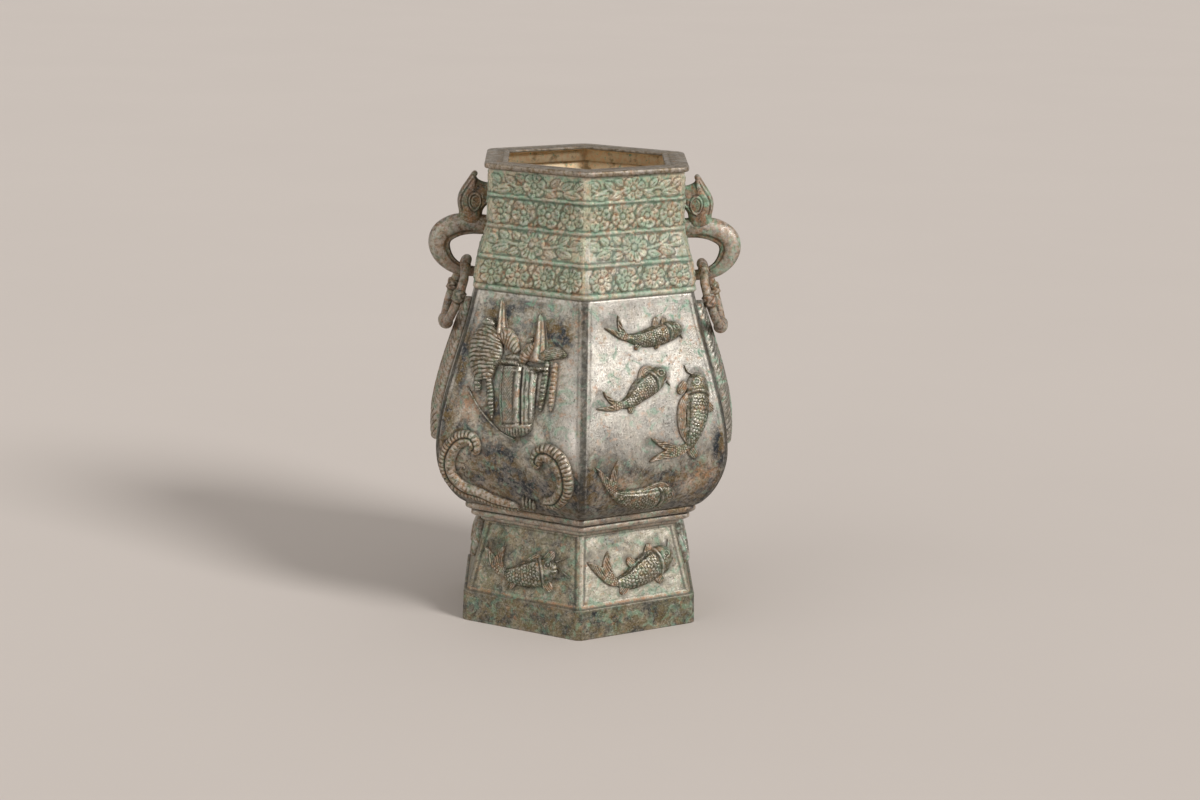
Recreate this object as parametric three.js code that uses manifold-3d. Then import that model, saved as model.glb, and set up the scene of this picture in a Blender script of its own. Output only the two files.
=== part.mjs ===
// A hexagonal bronze flower vase with applied relief castings, two beast head handles and two loose rings.
// Millimetres, +Z up. The origin is the middle of the foot's underside, and one corner of the hexagon points
// to -Y, so that two flat sides face +X and -X and carry the handles.

import * as THREE from 'three';
import { mergeVertices } from 'three/addons/utils/BufferGeometryUtils.js';
import Module from 'manifold-3d';

const wasm = await Module();
wasm.setup();

// Heights of the stacked castings, from the table up
const PLINTH_HEIGHT = 18.4;
const FOOT_PANEL_HEIGHT = 42.6;
const BELLY_HEIGHT = 144;
const NECK_HEIGHT = 71.5;
const RIM_THICKNESS = 3.5;

// Radii, from the axis to a corner of the hexagon
const PLINTH_RADIUS = 82;
const FOOT_RADIUS = 79;
const WAIST_RADIUS = 66.8;
const UNDERSIDE_RADIUS = 83;
const BELLY_RADIUS = 101;
const SHOULDER_RADIUS = 75.6;
const THROAT_RADIUS = 67;
const LIP_RADIUS = 70.2;
const MOUTH_RADIUS = 54;

// Walls, seats and clearances
const WALL = 3.2;
const CLEARANCE = 0.3;
const CORNER_FLAT = 3.5;
const SPIGOT_HEIGHT = 6;
const SPIGOT_WALL = 3;
const SOCKET_STEP = 0.8;
const FLOOR_LEDGE_WIDTH = 9;
const FLOOR_LEDGE_THICKNESS = 4;
const FLOOR_PLATE_THICKNESS = 3;

// Plinth: its small draft and the step back to the foot's panels
const PLINTH_DRAFT = 0.6;
const PLINTH_STEP = { width: 1, height: 1.4 };

// Belly curve: levels above the waist, and how far the curve runs on at the ends of its two spans
const UNDERSIDE_LEVEL = 14;
const BELLY_LEVEL = 49;
const UNDERSIDE_PULL = { out: 9, up: 7 };
const BELLY_LOWER_PULL = 16;
const BELLY_UPPER_PULL = 28;
const SHOULDER_PULL = { out: 7, down: 33 };

// Waist ribs: radius of the rib's core, level above the waist and half-round radius
const WAIST_RIBS = [
  { core: 68.3, level: 2.2, round: 1.7 },
  { core: 74.8, level: 6.2, round: 2.0 },
  { core: 78.4, level: 11.4, round: 2.4 },
];

// Neck: the bead at its foot, the flare, and the three ridges between the flower bands
const NECK_BEAD_ROUND = 1.5;
const NECK_BEAD_LEVEL = 2;
const NECK_FLARE = { start: 4, end: 39, lowerPull: 10, upperPull: 11, upperOut: 2.5 };
const NECK_RIDGES = [{ level: 20 }, { level: 38.2 }, { level: 56.2 }];
const NECK_RIDGE_HEIGHT = 0.8;
const NECK_RIDGE_HALF_WIDTH = 1.1;

// Lip of the mouth
const LIP_OVERHANG_DROP = 0.5;
const LIP_EDGE_THICKNESS = 1.5;

// Sunk panels on the foot
const PANEL_DEPTH = 0.8;
const PANEL_BORDER = 2.6;

// Handle trunk: how far each point of the spine stands out from the neck's wall, its height above the
// shoulder, and half the trunk's thickness there
const TRUNK_SPINE = [
  { out: -1.3, up: 32.7, half: 5.9 },
  { out: 10.8, up: 33.3, half: 6.5 },
  { out: 19.5, up: 31.8, half: 7.1 },
  { out: 25.4, up: 27.4, half: 7.1 },
  { out: 26, up: 21.2, half: 6.7 },
  { out: 22.5, up: 14.4, half: 5.9 },
  { out: 17, up: 8.8, half: 4.6 },
  { out: 10.7, up: 5.3, half: 3.7 },
  { out: 6.2, up: 4.4, half: 3.4 },
  { out: -2.3, up: 3.6, half: 3.0 },
];
const HOOK = TRUNK_SPINE.at(-2);
const TRUNK_SIDE_RATIO = 0.8;

// Handle head: its outline out from the neck's wall and up from the shoulder, with the crest on top
const CREST = { out: 11, up: 65 };
const HEAD_OUTLINE = [
  { out: -1, up: 40.5 },
  { out: -1, up: 58.3 },
  { out: 7, up: 60 },
  CREST,
  { out: 16.2, up: 58.6 },
  { out: 19.2, up: 53.5 },
  { out: 20.2, up: 48.5 },
  { out: 19.4, up: 42.5 },
  { out: 19.6, up: 36 },
  { out: 8.5, up: 35.5 },
  { out: 5.6, up: 41.8 },
];
const CREST_KNOB_RADIUS = 2;
const HEAD_THICKNESS = 11;
const HEAD_ROUNDING = 2.2;
const EAR_CENTRE = { out: 9.3, up: 49.6 };
const EAR_RADIUS = 5;
const EAR_PROUD = 1.6;

// Rivets that hold each handle: levels above the shoulder, and sizes
const RIVETS = [{ level: 32.7 }, { level: 53 }];
const RIVET_RADIUS = 2.2;
const RIVET_HEAD_RADIUS = 4.6;
const RIVET_HEAD_HEIGHT = 2.2;
const RIVET_REACH = 6;

// Loose rings
const RING_RADIUS = 20.3;
const RING_BAR_RADIUS = 3.1;
const FERRULE_RADIUS = 4.1;
const FERRULE_LENGTH = 6;

// Plume on the side panels: its ends below the belly's widest level and below the shoulder, and its section
const PLUME = { belowWidest: 6, belowShoulder: 12, width: 26, height: 8 };

// Reliefs are drawn for a belly 144 high and a foot panel 42.6 high, with corners 101 and 79 from the axis,
// and stretched to the real ones by these ratios
const BELLY_STRETCH = { up: BELLY_HEIGHT / 144, across: BELLY_RADIUS / 101 };
const FOOT_STRETCH = { up: FOOT_PANEL_HEIGHT / 42.6, across: FOOT_RADIUS / 79 };
const NO_STRETCH = { up: 1, across: 1 };

// Levels that follow from the heights
const FOOT_TOP = PLINTH_HEIGHT + FOOT_PANEL_HEIGHT;
const SHOULDER = FOOT_TOP + BELLY_HEIGHT;
const NECK_TOP = SHOULDER + NECK_HEIGHT;
const RIM_TOP = NECK_TOP + RIM_THICKNESS;

const SIDES = 6;
const SIXTH_TURN = 2 * Math.PI / SIDES;
const FLAT_RATIO = Math.cos(SIXTH_TURN / 2);
const RADIAL_CLEARANCE = CLEARANCE / FLAT_RATIO;

// The direction in which each side of the hexagon looks
const RIGHT_FRONT = -SIXTH_TURN;
const LEFT_FRONT = -2 * SIXTH_TURN;
const RIGHT = 0;

const point = (radius, height) => new THREE.Vector2(radius, height);

// Solids

// A closed solid from a geometry, with its shared points merged and its faces turned outwards
function toSolid(geometry) {
  const bare = new THREE.BufferGeometry();
  bare.setAttribute('position', geometry.getAttribute('position'));
  bare.setIndex(geometry.index);
  const merged = mergeVertices(bare);
  const position = merged.getAttribute('position');
  const corners = [0, 1, 2].map(() => new THREE.Vector3());
  const triangles = [];
  let volume = 0;
  for (let i = 0; i < merged.index.count; i += 3) {
    const [a, b, c] = [0, 1, 2].map((k) => merged.index.getX(i + k));
    if (a !== b && b !== c && c !== a) {
      triangles.push([a, b, c]);
      [a, b, c].forEach((index, k) => corners[k].fromBufferAttribute(position, index));
      volume += corners[0].dot(corners[1].cross(corners[2]));
    }
  }
  const turned = volume < 0 ? triangles.map(([a, b, c]) => [a, c, b]) : triangles;
  return new wasm.Manifold(new wasm.Mesh({
    numProp: 3,
    vertProperties: new Float32Array(position.array),
    triVerts: new Uint32Array(turned.flat()),
  }));
}

function fromSolid(solid) {
  const mesh = solid.getMesh();
  const geometry = new THREE.BufferGeometry();
  geometry.setAttribute('position', new THREE.BufferAttribute(mesh.vertProperties, mesh.numProp));
  geometry.setIndex(new THREE.BufferAttribute(mesh.triVerts, 1));
  geometry.computeVertexNormals();
  return geometry;
}

const join = (solids) => solids.reduce((whole, solid) => whole.add(solid));

const cut = (solid, tools) => tools.reduce((left, tool) => left.subtract(tool), solid);

// Hexagonal turning: a profile carried round six sides, each corner with a narrow flat

function hexCorner(radius, index) {
  const angle = index * SIXTH_TURN - Math.PI / 2;
  return new THREE.Vector2(radius * Math.cos(angle), radius * Math.sin(angle));
}

function hexLathe(profile) {
  const geometry = new THREE.LatheGeometry(profile, 2 * SIDES, -SIXTH_TURN / 4);
  geometry.rotateX(Math.PI / 2);
  const position = geometry.getAttribute('position');
  for (let i = 0; i < position.count; i += 1) {
    const radius = Math.hypot(position.getX(i), position.getY(i));
    const turn = Math.atan2(position.getX(i), -position.getY(i)) / SIXTH_TURN;
    const index = Math.round(turn);
    const along = radius > 0 ? Math.min(CORNER_FLAT / Math.sqrt(3) / radius, 0.5) : 0;
    const moved = hexCorner(radius, index).lerp(hexCorner(radius, index + Math.sign(turn - index)), along);
    position.setXY(i, moved.x, moved.y);
  }
  return geometry;
}

const hexSolid = (profile) => toSolid(hexLathe(profile));

const closeOnItself = (profile) => [...profile, profile[0].clone()];

const closeOnAxis = (outline) => [point(0, outline[0].y), ...outline, point(0, outline.at(-1).y)];

// Outlines run from the bottom up

// Corner radius of an outline at a height
function radiusAt(outline, height) {
  const last = outline.length - 1;
  const above = outline.findIndex((p) => p.y >= height);
  const i = THREE.MathUtils.clamp(above < 0 ? last : above, 1, last);
  const [low, high] = [outline[i - 1], outline[i]];
  const share = THREE.MathUtils.clamp((height - low.y) / (high.y - low.y), 0, 1);
  return THREE.MathUtils.lerp(low.x, high.x, share);
}

// Slope of an outline at a height, as radius gained per unit of height
function slopeAt(outline, height) {
  const reach = 2;
  return (radiusAt(outline, height + reach) - radiusAt(outline, height - reach)) / (2 * reach);
}

// The same outline, moved out by a distance square to the flat sides
function offsetOutline(outline, distance) {
  return outline.map((p) => {
    const slope = slopeAt(outline, p.y) * FLAT_RATIO;
    return point(p.x + distance / FLAT_RATIO * Math.hypot(1, slope), p.y);
  });
}

// A half-round bead that stands out from a core radius
function bead(core, level, round) {
  const steps = 4;
  return Array.from({ length: steps + 1 }, (_, i) => {
    const angle = Math.PI * (i / steps - 0.5);
    return point(core + round * Math.cos(angle), level + round * Math.sin(angle));
  });
}

// An outline with narrow ridges added at some levels
function addRidges(outline, levels) {
  const isClear = (p) => levels.every((level) => Math.abs(p.y - level) > NECK_RIDGE_HALF_WIDTH);
  const ridges = levels.flatMap((level) => [
    point(radiusAt(outline, level - NECK_RIDGE_HALF_WIDTH), level - NECK_RIDGE_HALF_WIDTH),
    point(radiusAt(outline, level) + NECK_RIDGE_HEIGHT, level),
    point(radiusAt(outline, level + NECK_RIDGE_HALF_WIDTH), level + NECK_RIDGE_HALF_WIDTH),
  ]);
  return [...outline.filter(isClear), ...ridges].sort((a, b) => a.y - b.y);
}

// The belly's wall, above its ribs
function bellyWall() {
  const underside = point(UNDERSIDE_RADIUS, FOOT_TOP + UNDERSIDE_LEVEL);
  const widest = point(BELLY_RADIUS, FOOT_TOP + BELLY_LEVEL);
  const shoulder = point(SHOULDER_RADIUS, SHOULDER);
  const lower = new THREE.CubicBezierCurve(
    underside,
    point(underside.x + UNDERSIDE_PULL.out, underside.y + UNDERSIDE_PULL.up),
    point(widest.x, widest.y - BELLY_LOWER_PULL),
    widest,
  );
  const upper = new THREE.CubicBezierCurve(
    widest,
    point(widest.x, widest.y + BELLY_UPPER_PULL),
    point(shoulder.x + SHOULDER_PULL.out, shoulder.y - SHOULDER_PULL.down),
    shoulder,
  );
  return [...lower.getPoints(7), ...upper.getPoints(10).slice(1)];
}

// The neck's wall, without its bead and ridges
function neckWall() {
  const flare = new THREE.CubicBezierCurve(
    point(SHOULDER_RADIUS, SHOULDER + NECK_FLARE.start),
    point(SHOULDER_RADIUS, SHOULDER + NECK_FLARE.start + NECK_FLARE.lowerPull),
    point(THROAT_RADIUS + NECK_FLARE.upperOut, SHOULDER + NECK_FLARE.end - NECK_FLARE.upperPull),
    point(THROAT_RADIUS, SHOULDER + NECK_FLARE.end),
  );
  return [point(SHOULDER_RADIUS, SHOULDER), ...flare.getPoints(8), point(THROAT_RADIUS, NECK_TOP)];
}

const BELLY_WALL = bellyWall();
const NECK_WALL = neckWall();
const FOOT_WALL = [point(FOOT_RADIUS, PLINTH_HEIGHT + PLINTH_STEP.height), point(WAIST_RADIUS, FOOT_TOP)];

// The neck's outside, with its bead and ridges
function neckOutside() {
  const beadTop = SHOULDER + NECK_BEAD_LEVEL + NECK_BEAD_ROUND;
  const wall = NECK_WALL.filter((p) => p.y > beadTop);
  const ridgeLevels = NECK_RIDGES.map((ridge) => SHOULDER + ridge.level);
  return [
    point(SHOULDER_RADIUS, SHOULDER),
    ...bead(SHOULDER_RADIUS, SHOULDER + NECK_BEAD_LEVEL, NECK_BEAD_ROUND),
    ...addRidges(wall, ridgeLevels),
  ];
}

// The neck's inside: a straight socket for the belly's spigot, then the wall's own curve
function neckInside() {
  const socketRadius = SHOULDER_RADIUS - WALL - SOCKET_STEP;
  const socketTop = SHOULDER + SPIGOT_HEIGHT + CLEARANCE;
  const inner = offsetOutline(NECK_WALL, -WALL).filter((p) => p.y > socketTop + SOCKET_STEP);
  return [point(socketRadius, SHOULDER), point(socketRadius, socketTop), ...inner];
}

const NECK_INSIDE = neckInside();

// Body castings

function makeFoot() {
  const seatRadius = WAIST_RADIUS - WALL;
  const collarOuter = seatRadius - RADIAL_CLEARANCE;
  const collarInner = collarOuter - SPIGOT_WALL;
  const ledgeInner = collarOuter - FLOOR_LEDGE_WIDTH;
  const ledgeBottom = FOOT_TOP - FLOOR_LEDGE_THICKNESS;
  const hollowRadius = PLINTH_RADIUS - WALL;
  const profile = [
    point(PLINTH_RADIUS, 0),
    point(PLINTH_RADIUS - PLINTH_DRAFT, PLINTH_HEIGHT),
    point(FOOT_RADIUS + PLINTH_STEP.width, PLINTH_HEIGHT),
    ...FOOT_WALL,
    point(collarOuter, FOOT_TOP),
    point(collarOuter, FOOT_TOP + SPIGOT_HEIGHT),
    point(collarInner, FOOT_TOP + SPIGOT_HEIGHT),
    point(collarInner, FOOT_TOP),
    point(ledgeInner, FOOT_TOP),
    point(ledgeInner, ledgeBottom),
    point(radiusAt(FOOT_WALL, ledgeBottom) - WALL - PANEL_DEPTH, ledgeBottom),
    point(FOOT_RADIUS - WALL, PLINTH_HEIGHT),
    point(hollowRadius, PLINTH_HEIGHT - WALL),
    point(hollowRadius, 0),
  ];
  return fromSolid(cut(hexSolid(closeOnItself(profile)), footPockets(0)));
}

function makeFloorPlate() {
  const radius = WAIST_RADIUS - WALL - SPIGOT_WALL - 2 * RADIAL_CLEARANCE;
  const outline = [point(radius, FOOT_TOP), point(radius, FOOT_TOP + FLOOR_PLATE_THICKNESS)];
  return fromSolid(hexSolid(closeOnAxis(outline)));
}

function makeBelly() {
  const ribs = WAIST_RIBS.flatMap((rib) => bead(rib.core, FOOT_TOP + rib.level, rib.round));
  const inner = offsetOutline(BELLY_WALL, -WALL).slice(1, -1).reverse();
  const spigotOuter = NECK_INSIDE[0].x - RADIAL_CLEARANCE;
  const spigotInner = spigotOuter - SPIGOT_WALL;
  const throat = WAIST_RADIUS - WALL;
  const profile = [
    point(WAIST_RADIUS, FOOT_TOP),
    ...ribs,
    ...BELLY_WALL,
    point(spigotOuter, SHOULDER),
    point(spigotOuter, SHOULDER + SPIGOT_HEIGHT),
    point(spigotInner, SHOULDER + SPIGOT_HEIGHT),
    point(spigotInner, SHOULDER - WALL),
    ...inner,
    point(throat, FOOT_TOP + UNDERSIDE_LEVEL),
    point(throat, FOOT_TOP),
  ];
  return fromSolid(hexSolid(closeOnItself(profile)));
}

function makeNeck() {
  const shell = hexSolid(closeOnItself([...neckOutside(), ...[...NECK_INSIDE].reverse()]));
  const bores = [0, Math.PI].flatMap((turn) => RIVETS.map(({ level }) => rivetBore(level, turn)));
  return fromSolid(cut(shell, bores));
}

function makeRim() {
  const collar = radiusAt(NECK_INSIDE, NECK_TOP) - RADIAL_CLEARANCE;
  const profile = [
    point(MOUTH_RADIUS, RIM_TOP - LIP_EDGE_THICKNESS),
    point(collar - SPIGOT_WALL, NECK_TOP + LIP_OVERHANG_DROP),
    point(collar - SPIGOT_WALL, NECK_TOP - SPIGOT_HEIGHT),
    point(collar, NECK_TOP - SPIGOT_HEIGHT),
    point(collar, NECK_TOP),
    point(LIP_RADIUS - 2 * LIP_OVERHANG_DROP, NECK_TOP),
    point(LIP_RADIUS, NECK_TOP + LIP_OVERHANG_DROP),
    point(LIP_RADIUS, RIM_TOP),
    point(MOUTH_RADIUS, RIM_TOP),
  ];
  return fromSolid(hexSolid(closeOnItself(profile)));
}

// Panels: a side's own coordinates are s (to the right, seen from outside), height, and h (out of the wall)

function panelPoint(panel, s, height, h) {
  const normal = new THREE.Vector3(Math.cos(panel.angle), Math.sin(panel.angle), 0);
  const across = new THREE.Vector3(-normal.y, normal.x, 0);
  const out = normal.clone().setZ(-slopeAt(panel.wall, height) * FLAT_RATIO).normalize();
  return normal.multiplyScalar(radiusAt(panel.wall, height) * FLAT_RATIO)
    .addScaledVector(across, s)
    .addScaledVector(out, h)
    .add(new THREE.Vector3(0, 0, height));
}

// Carries a geometry drawn in panel coordinates (x = s, y = height, z = h) to its wall
function wrap(geometry, panel) {
  const position = geometry.getAttribute('position');
  for (let i = 0; i < position.count; i += 1) {
    const placed = panelPoint(panel, position.getX(i), position.getY(i), position.getZ(i));
    position.setXYZ(i, placed.x, placed.y, placed.z);
  }
  return geometry;
}

// The sunk fields of the foot's panels, smaller all round by a margin
function footPockets(margin) {
  const border = PANEL_BORDER + margin;
  const low = FOOT_WALL[0].y + border;
  const high = FOOT_TOP - border;
  const depth = 2 * PANEL_DEPTH;
  return Array.from({ length: SIDES }, (_, side) => {
    const box = new THREE.BoxGeometry(1, high - low, depth);
    box.translate(0, (low + high) / 2, margin);
    const position = box.getAttribute('position');
    for (let i = 0; i < position.count; i += 1) {
      const halfWidth = radiusAt(FOOT_WALL, position.getY(i)) / 2 - border;
      position.setX(i, Math.sign(position.getX(i)) * halfWidth);
    }
    return toSolid(wrap(box, { angle: side * SIXTH_TURN, wall: FOOT_WALL }));
  });
}

// Room that a casting on a wall keeps clear of: the wall itself, moved out by the clearance
const keepClear = (outline) => hexSolid(closeOnAxis(offsetOutline(outline, CLEARANCE)));

const BELLY_KEEP_CLEAR = keepClear(BELLY_WALL);
const FOOT_KEEP_CLEAR = cut(keepClear(FOOT_WALL), footPockets(CLEARANCE));

function bellyPanel(angle, stretch = BELLY_STRETCH) {
  return { angle, stretch, wall: BELLY_WALL, base: FOOT_TOP, sunk: 0, clear: BELLY_KEEP_CLEAR };
}

function footPanel(angle) {
  return {
    angle,
    stretch: FOOT_STRETCH,
    wall: FOOT_WALL,
    base: PLINTH_HEIGHT,
    sunk: PANEL_DEPTH,
    clear: FOOT_KEEP_CLEAR,
  };
}

// A closed bar of oval section along a curve drawn in a plane; half sizes follow the share along the curve
function taperedBar(path, halfWidth, halfHeight, steps, sides) {
  const curve = new THREE.CatmullRomCurve3(path.map(([x, y]) => new THREE.Vector3(x, y, 0)));
  const vertices = [];
  const triangles = [];
  for (let i = 0; i <= steps; i += 1) {
    const share = i / steps;
    const centre = curve.getPointAt(share);
    const tangent = curve.getTangentAt(share);
    for (let k = 0; k < sides; k += 1) {
      const angle = 2 * Math.PI * k / sides;
      const aside = halfWidth(share) * Math.cos(angle);
      const proud = halfHeight(share) * Math.sin(angle);
      vertices.push(centre.x - tangent.y * aside, centre.y + tangent.x * aside, proud);
      if (i < steps) {
        const [a, b] = [i * sides + k, i * sides + (k + 1) % sides];
        triangles.push(a, b, b + sides, a, b + sides, a + sides);
      }
    }
  }
  for (const [share, first] of [[0, 0], [1, steps * sides]]) {
    const pole = vertices.length / 3;
    const centre = curve.getPointAt(share);
    vertices.push(centre.x, centre.y, 0);
    for (let k = 0; k < sides; k += 1) {
      const [a, b] = [first + k, first + (k + 1) % sides];
      triangles.push(...(share === 0 ? [pole, b, a] : [pole, a, b]));
    }
  }
  const geometry = new THREE.BufferGeometry();
  geometry.setAttribute('position', new THREE.Float32BufferAttribute(vertices, 3));
  geometry.setIndex(triangles);
  return geometry;
}

// A relief bar on a panel, half sunk in the wall before the wall's room is cut away
function reliefBar(panel, path, width, height, shape, steps, sides = 6) {
  const bar = taperedBar(path, (t) => width / 2 * shape(t), (t) => height * Math.sqrt(shape(t)), steps, sides);
  bar.scale(panel.stretch.across, panel.stretch.up, panel.stretch.across);
  bar.translate(0, panel.base, -panel.sunk);
  return toSolid(wrap(bar, panel));
}

const seat = (solids, panel) => fromSolid(join(solids).subtract(panel.clear));

// Shapes along a bar, as a share of its full width
const fishShape = (t) => 0.3 + 0.7 * Math.sin(Math.PI * (0.06 + 0.86 * t ** 1.2));
const leafShape = (t) => 0.28 + 0.72 * Math.sin(Math.PI * (0.22 + 0.7 * t));
const podShape = (t) => 0.25 + 0.75 * Math.sin(Math.PI * (0.08 + 0.84 * t));
const plumeShape = (t) => 0.2 + 0.8 * Math.sin(Math.PI * (0.05 + 0.85 * t));
const drumShape = (t) => 1 - 0.35 * t ** 3;
const tuskShape = (t) => 1 - 0.78 * t;
const evenShape = () => 1;

// Fish castings: the spine runs from the tail's root to the snout, the lobes and fins outwards

const CARP_ASCENDING = {
  spine: [[-12, 121], [-3, 120], [7, 121], [17, 123], [25, 123]],
  width: 12.5,
  height: 5,
  lobes: [[[-11, 121], [-20, 126], [-27, 129]], [[-12, 122], [-16, 130], [-18, 136]]],
  fins: [[[11, 121], [6, 113.5]], [[-3, 119.5], [-8, 114]], [[8, 123], [9, 131]]],
};
const CARP_TURNING = {
  spine: [[-22, 84], [-15, 86], [-8, 91], [0, 95], [7, 98], [11, 97]],
  width: 13.5,
  height: 5,
  lobes: [[[-20, 84], [-28, 83], [-34, 86], [-41, 85]], [[-20, 84.5], [-26, 90], [-33, 94]]],
  fins: [[[-14, 86], [-17, 79.5]], [[-7, 94], [-3, 102], [3, 99]]],
};
const CARP_LEAPING = {
  spine: [[22, 54], [25, 62], [29, 73], [31, 85], [33, 96]],
  width: 16,
  height: 5.5,
  lobes: [[[23, 55], [12, 59], [3, 63], [-6, 64]], [[23, 54], [10, 50], [0, 50], [-7, 50]]],
  fins: [[[33, 81], [41, 76]], [[28, 88], [22, 82], [20, 75], [20, 66], [23, 59]], [[22, 56], [27, 49]]],
};
const CARP_DIVING = {
  spine: [[-29, 33], [-18, 28], [-7, 26], [4, 26], [17, 25.5]],
  width: 14,
  height: 5,
  lobes: [[[-28, 32], [-35, 40], [-41, 53]], [[-28, 33], [-28, 46], [-26, 54]]],
  fins: [[[-8, 30], [3, 31.5], [12, 29]]],
};
const FOOT_CARP = {
  spine: [[-12, 12.5], [-2, 13.5], [6, 17], [16, 21], [25, 23], [29, 22.5]],
  width: 15.5,
  height: 4.5,
  lobes: [[[-10, 12.5], [-19, 17], [-25, 24], [-29, 30]], [[-11, 13], [-14, 23], [-17, 34]]],
  fins: [[[12, 22], [13, 32.5]], [[16, 18], [20, 9]], [[-4, 13], [-10, 6]]],
};
const FOOT_CATFISH = {
  spine: [[-16, 13.5], [-7, 13.5], [3, 16], [12, 19], [21, 22]],
  width: 15.5,
  height: 4.5,
  lobes: [[[-15, 13.5], [-25, 19], [-29, 27]], [[-15, 14], [-15, 24], [-17.5, 33]]],
  fins: [[[12, 21], [17, 31]], [[-7, 13], [-11, 6]], [[12, 17], [19, 8]], [[17, 20], [30, 18]]],
};

function makeFish(panel, plan) {
  const body = reliefBar(panel, plan.spine, plan.width, plan.height, fishShape, 8, 8);
  const lobes = plan.lobes.map((path) => reliefBar(panel, path, plan.width * 0.4, 2.6, leafShape, 4));
  const fins = plan.fins.map((path) => reliefBar(panel, path, plan.width * 0.3, 2, leafShape, 3));
  return seat([body, ...lobes, ...fins], panel);
}

// A ribbed straw creel with its knob, a tusk, a hump behind it and a hanging strap
function makeCreel(panel) {
  const creel = reliefBar(panel, [[-23, 90], [-25, 104], [-24, 117], [-23, 125]], 20, 7, podShape, 9, 8);
  const knob = reliefBar(panel, [[-27, 124], [-19.5, 124.5]], 4, 5, evenShape, 1);
  const tusk = reliefBar(panel, [[-16.5, 122], [-17.5, 132], [-18, 139]], 7, 4.5, tuskShape, 3);
  const hump = reliefBar(panel, [[-19, 116], [-10, 118], [-3, 111]], 9, 4.5, podShape, 4);
  const strap = reliefBar(panel, [[-19, 97], [-16, 88], [-12, 72]], 4.5, 3, leafShape, 4);
  return seat([creel, knob, tusk, hump, strap], panel);
}

// A drum hung from a bar, with two sticks, a leaf and a tusk
function makeDrum(panel) {
  const bar = reliefBar(panel, [[-14, 103], [-3, 104], [8, 102.5], [17, 103]], 4, 6, evenShape, 3);
  const drum = reliefBar(panel, [[1, 104], [2, 90], [4, 76], [5.5, 64]], 25, 6, drumShape, 6, 8);
  const innerStick = reliefBar(panel, [[19, 111], [19, 80]], 4.4, 3.5, leafShape, 3);
  const outerStick = reliefBar(panel, [[24, 110], [25, 95], [26, 81]], 4.4, 3.5, leafShape, 3);
  const leaf = reliefBar(panel, [[13, 109], [22, 112], [31, 112]], 7, 4.5, podShape, 4);
  const tusk = reliefBar(panel, [[11, 108], [11, 120], [9.5, 133]], 10, 4.5, tuskShape, 3);
  const knot = reliefBar(panel, [[1, 104], [5, 112], [11, 116]], 8, 4.5, podShape, 3);
  return seat([bar, drum, innerStick, outerStick, leaf, tusk, knot], panel);
}

const SERPENT_LEFT = [
  [-27, 57], [-36, 53.5], [-42, 45], [-42.5, 36], [-39, 29],
  [-32, 24.5], [-23, 23], [-15, 20], [-6, 18.5], [8, 20],
];
const SERPENT_RIGHT = [[20, 53], [28, 56], [35, 52], [38.5, 44], [37.5, 35], [30, 26.5], [20, 25]];

function makeSerpent(panel, path) {
  return seat([reliefBar(panel, path, 8, 4.5, podShape, 16)], panel);
}

// The long plume on a side panel, on which the ring comes to rest, drawn from its top down
const PLUME_TOP = BELLY_HEIGHT - PLUME.belowShoulder;
const PLUME_BOTTOM = BELLY_LEVEL - PLUME.belowWidest;

function makePlume(panel) {
  const levelAt = (share) => THREE.MathUtils.lerp(PLUME_TOP, PLUME_BOTTOM, share);
  const spine = [0, 0.25, 0.5, 0.75, 1].map((share) => [0, levelAt(share)]);
  return seat([reliefBar(panel, spine, PLUME.width, PLUME.height, plumeShape, 12, 10)], panel);
}

// The curled leaf on a side panel of the foot
function makeFootLeaf(panel) {
  const curl = reliefBar(panel, [[-18, 12], [-6, 22], [6, 27], [18, 25]], 13, 5, podShape, 8, 8);
  const tip = reliefBar(panel, [[14, 26], [20, 20], [15, 13]], 7, 4, leafShape, 4);
  return seat([curl, tip], panel);
}

// Handles

// How far the neck's flat side stands from the axis, at a level above the shoulder
const wallFace = (up) => radiusAt(NECK_WALL, SHOULDER + up) * FLAT_RATIO;

// Room of the neck and the rim, which the handles stand against
const NECK_KEEP_CLEAR = keepClear([...neckOutside(), point(LIP_RADIUS, NECK_TOP), point(LIP_RADIUS, RIM_TOP)]);

// Inner room of the neck, in which the rivet heads lie
const NECK_HOLLOW = hexSolid(closeOnAxis(offsetOutline(NECK_INSIDE, -CLEARANCE)));

// Turns a geometry drawn in the handle's plane (x = out, y = height above the shoulder) upright
const upright = (geometry) => toSolid(geometry.rotateX(Math.PI / 2).translate(0, 0, SHOULDER));

function rod(radius, from, to, level, turn) {
  const geometry = new THREE.CylinderGeometry(radius, radius, to - from, 16);
  geometry.rotateZ(Math.PI / 2);
  geometry.translate((from + to) / 2, 0, SHOULDER + level);
  geometry.rotateZ(turn);
  return toSolid(geometry);
}

function rivetBore(level, turn) {
  const face = wallFace(level);
  return rod(RIVET_RADIUS + CLEARANCE, face - 3 * WALL, face + RIVET_REACH + CLEARANCE, level, turn);
}

function makeRivet(level) {
  const face = wallFace(level);
  const headFrom = face - WALL - RIVET_HEAD_HEIGHT;
  const head = rod(RIVET_HEAD_RADIUS, headFrom, face, level, 0).intersect(NECK_HOLLOW);
  const shank = rod(RIVET_RADIUS, headFrom + CLEARANCE, face + RIVET_REACH, level, 0);
  return fromSolid(head.add(shank));
}

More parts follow.
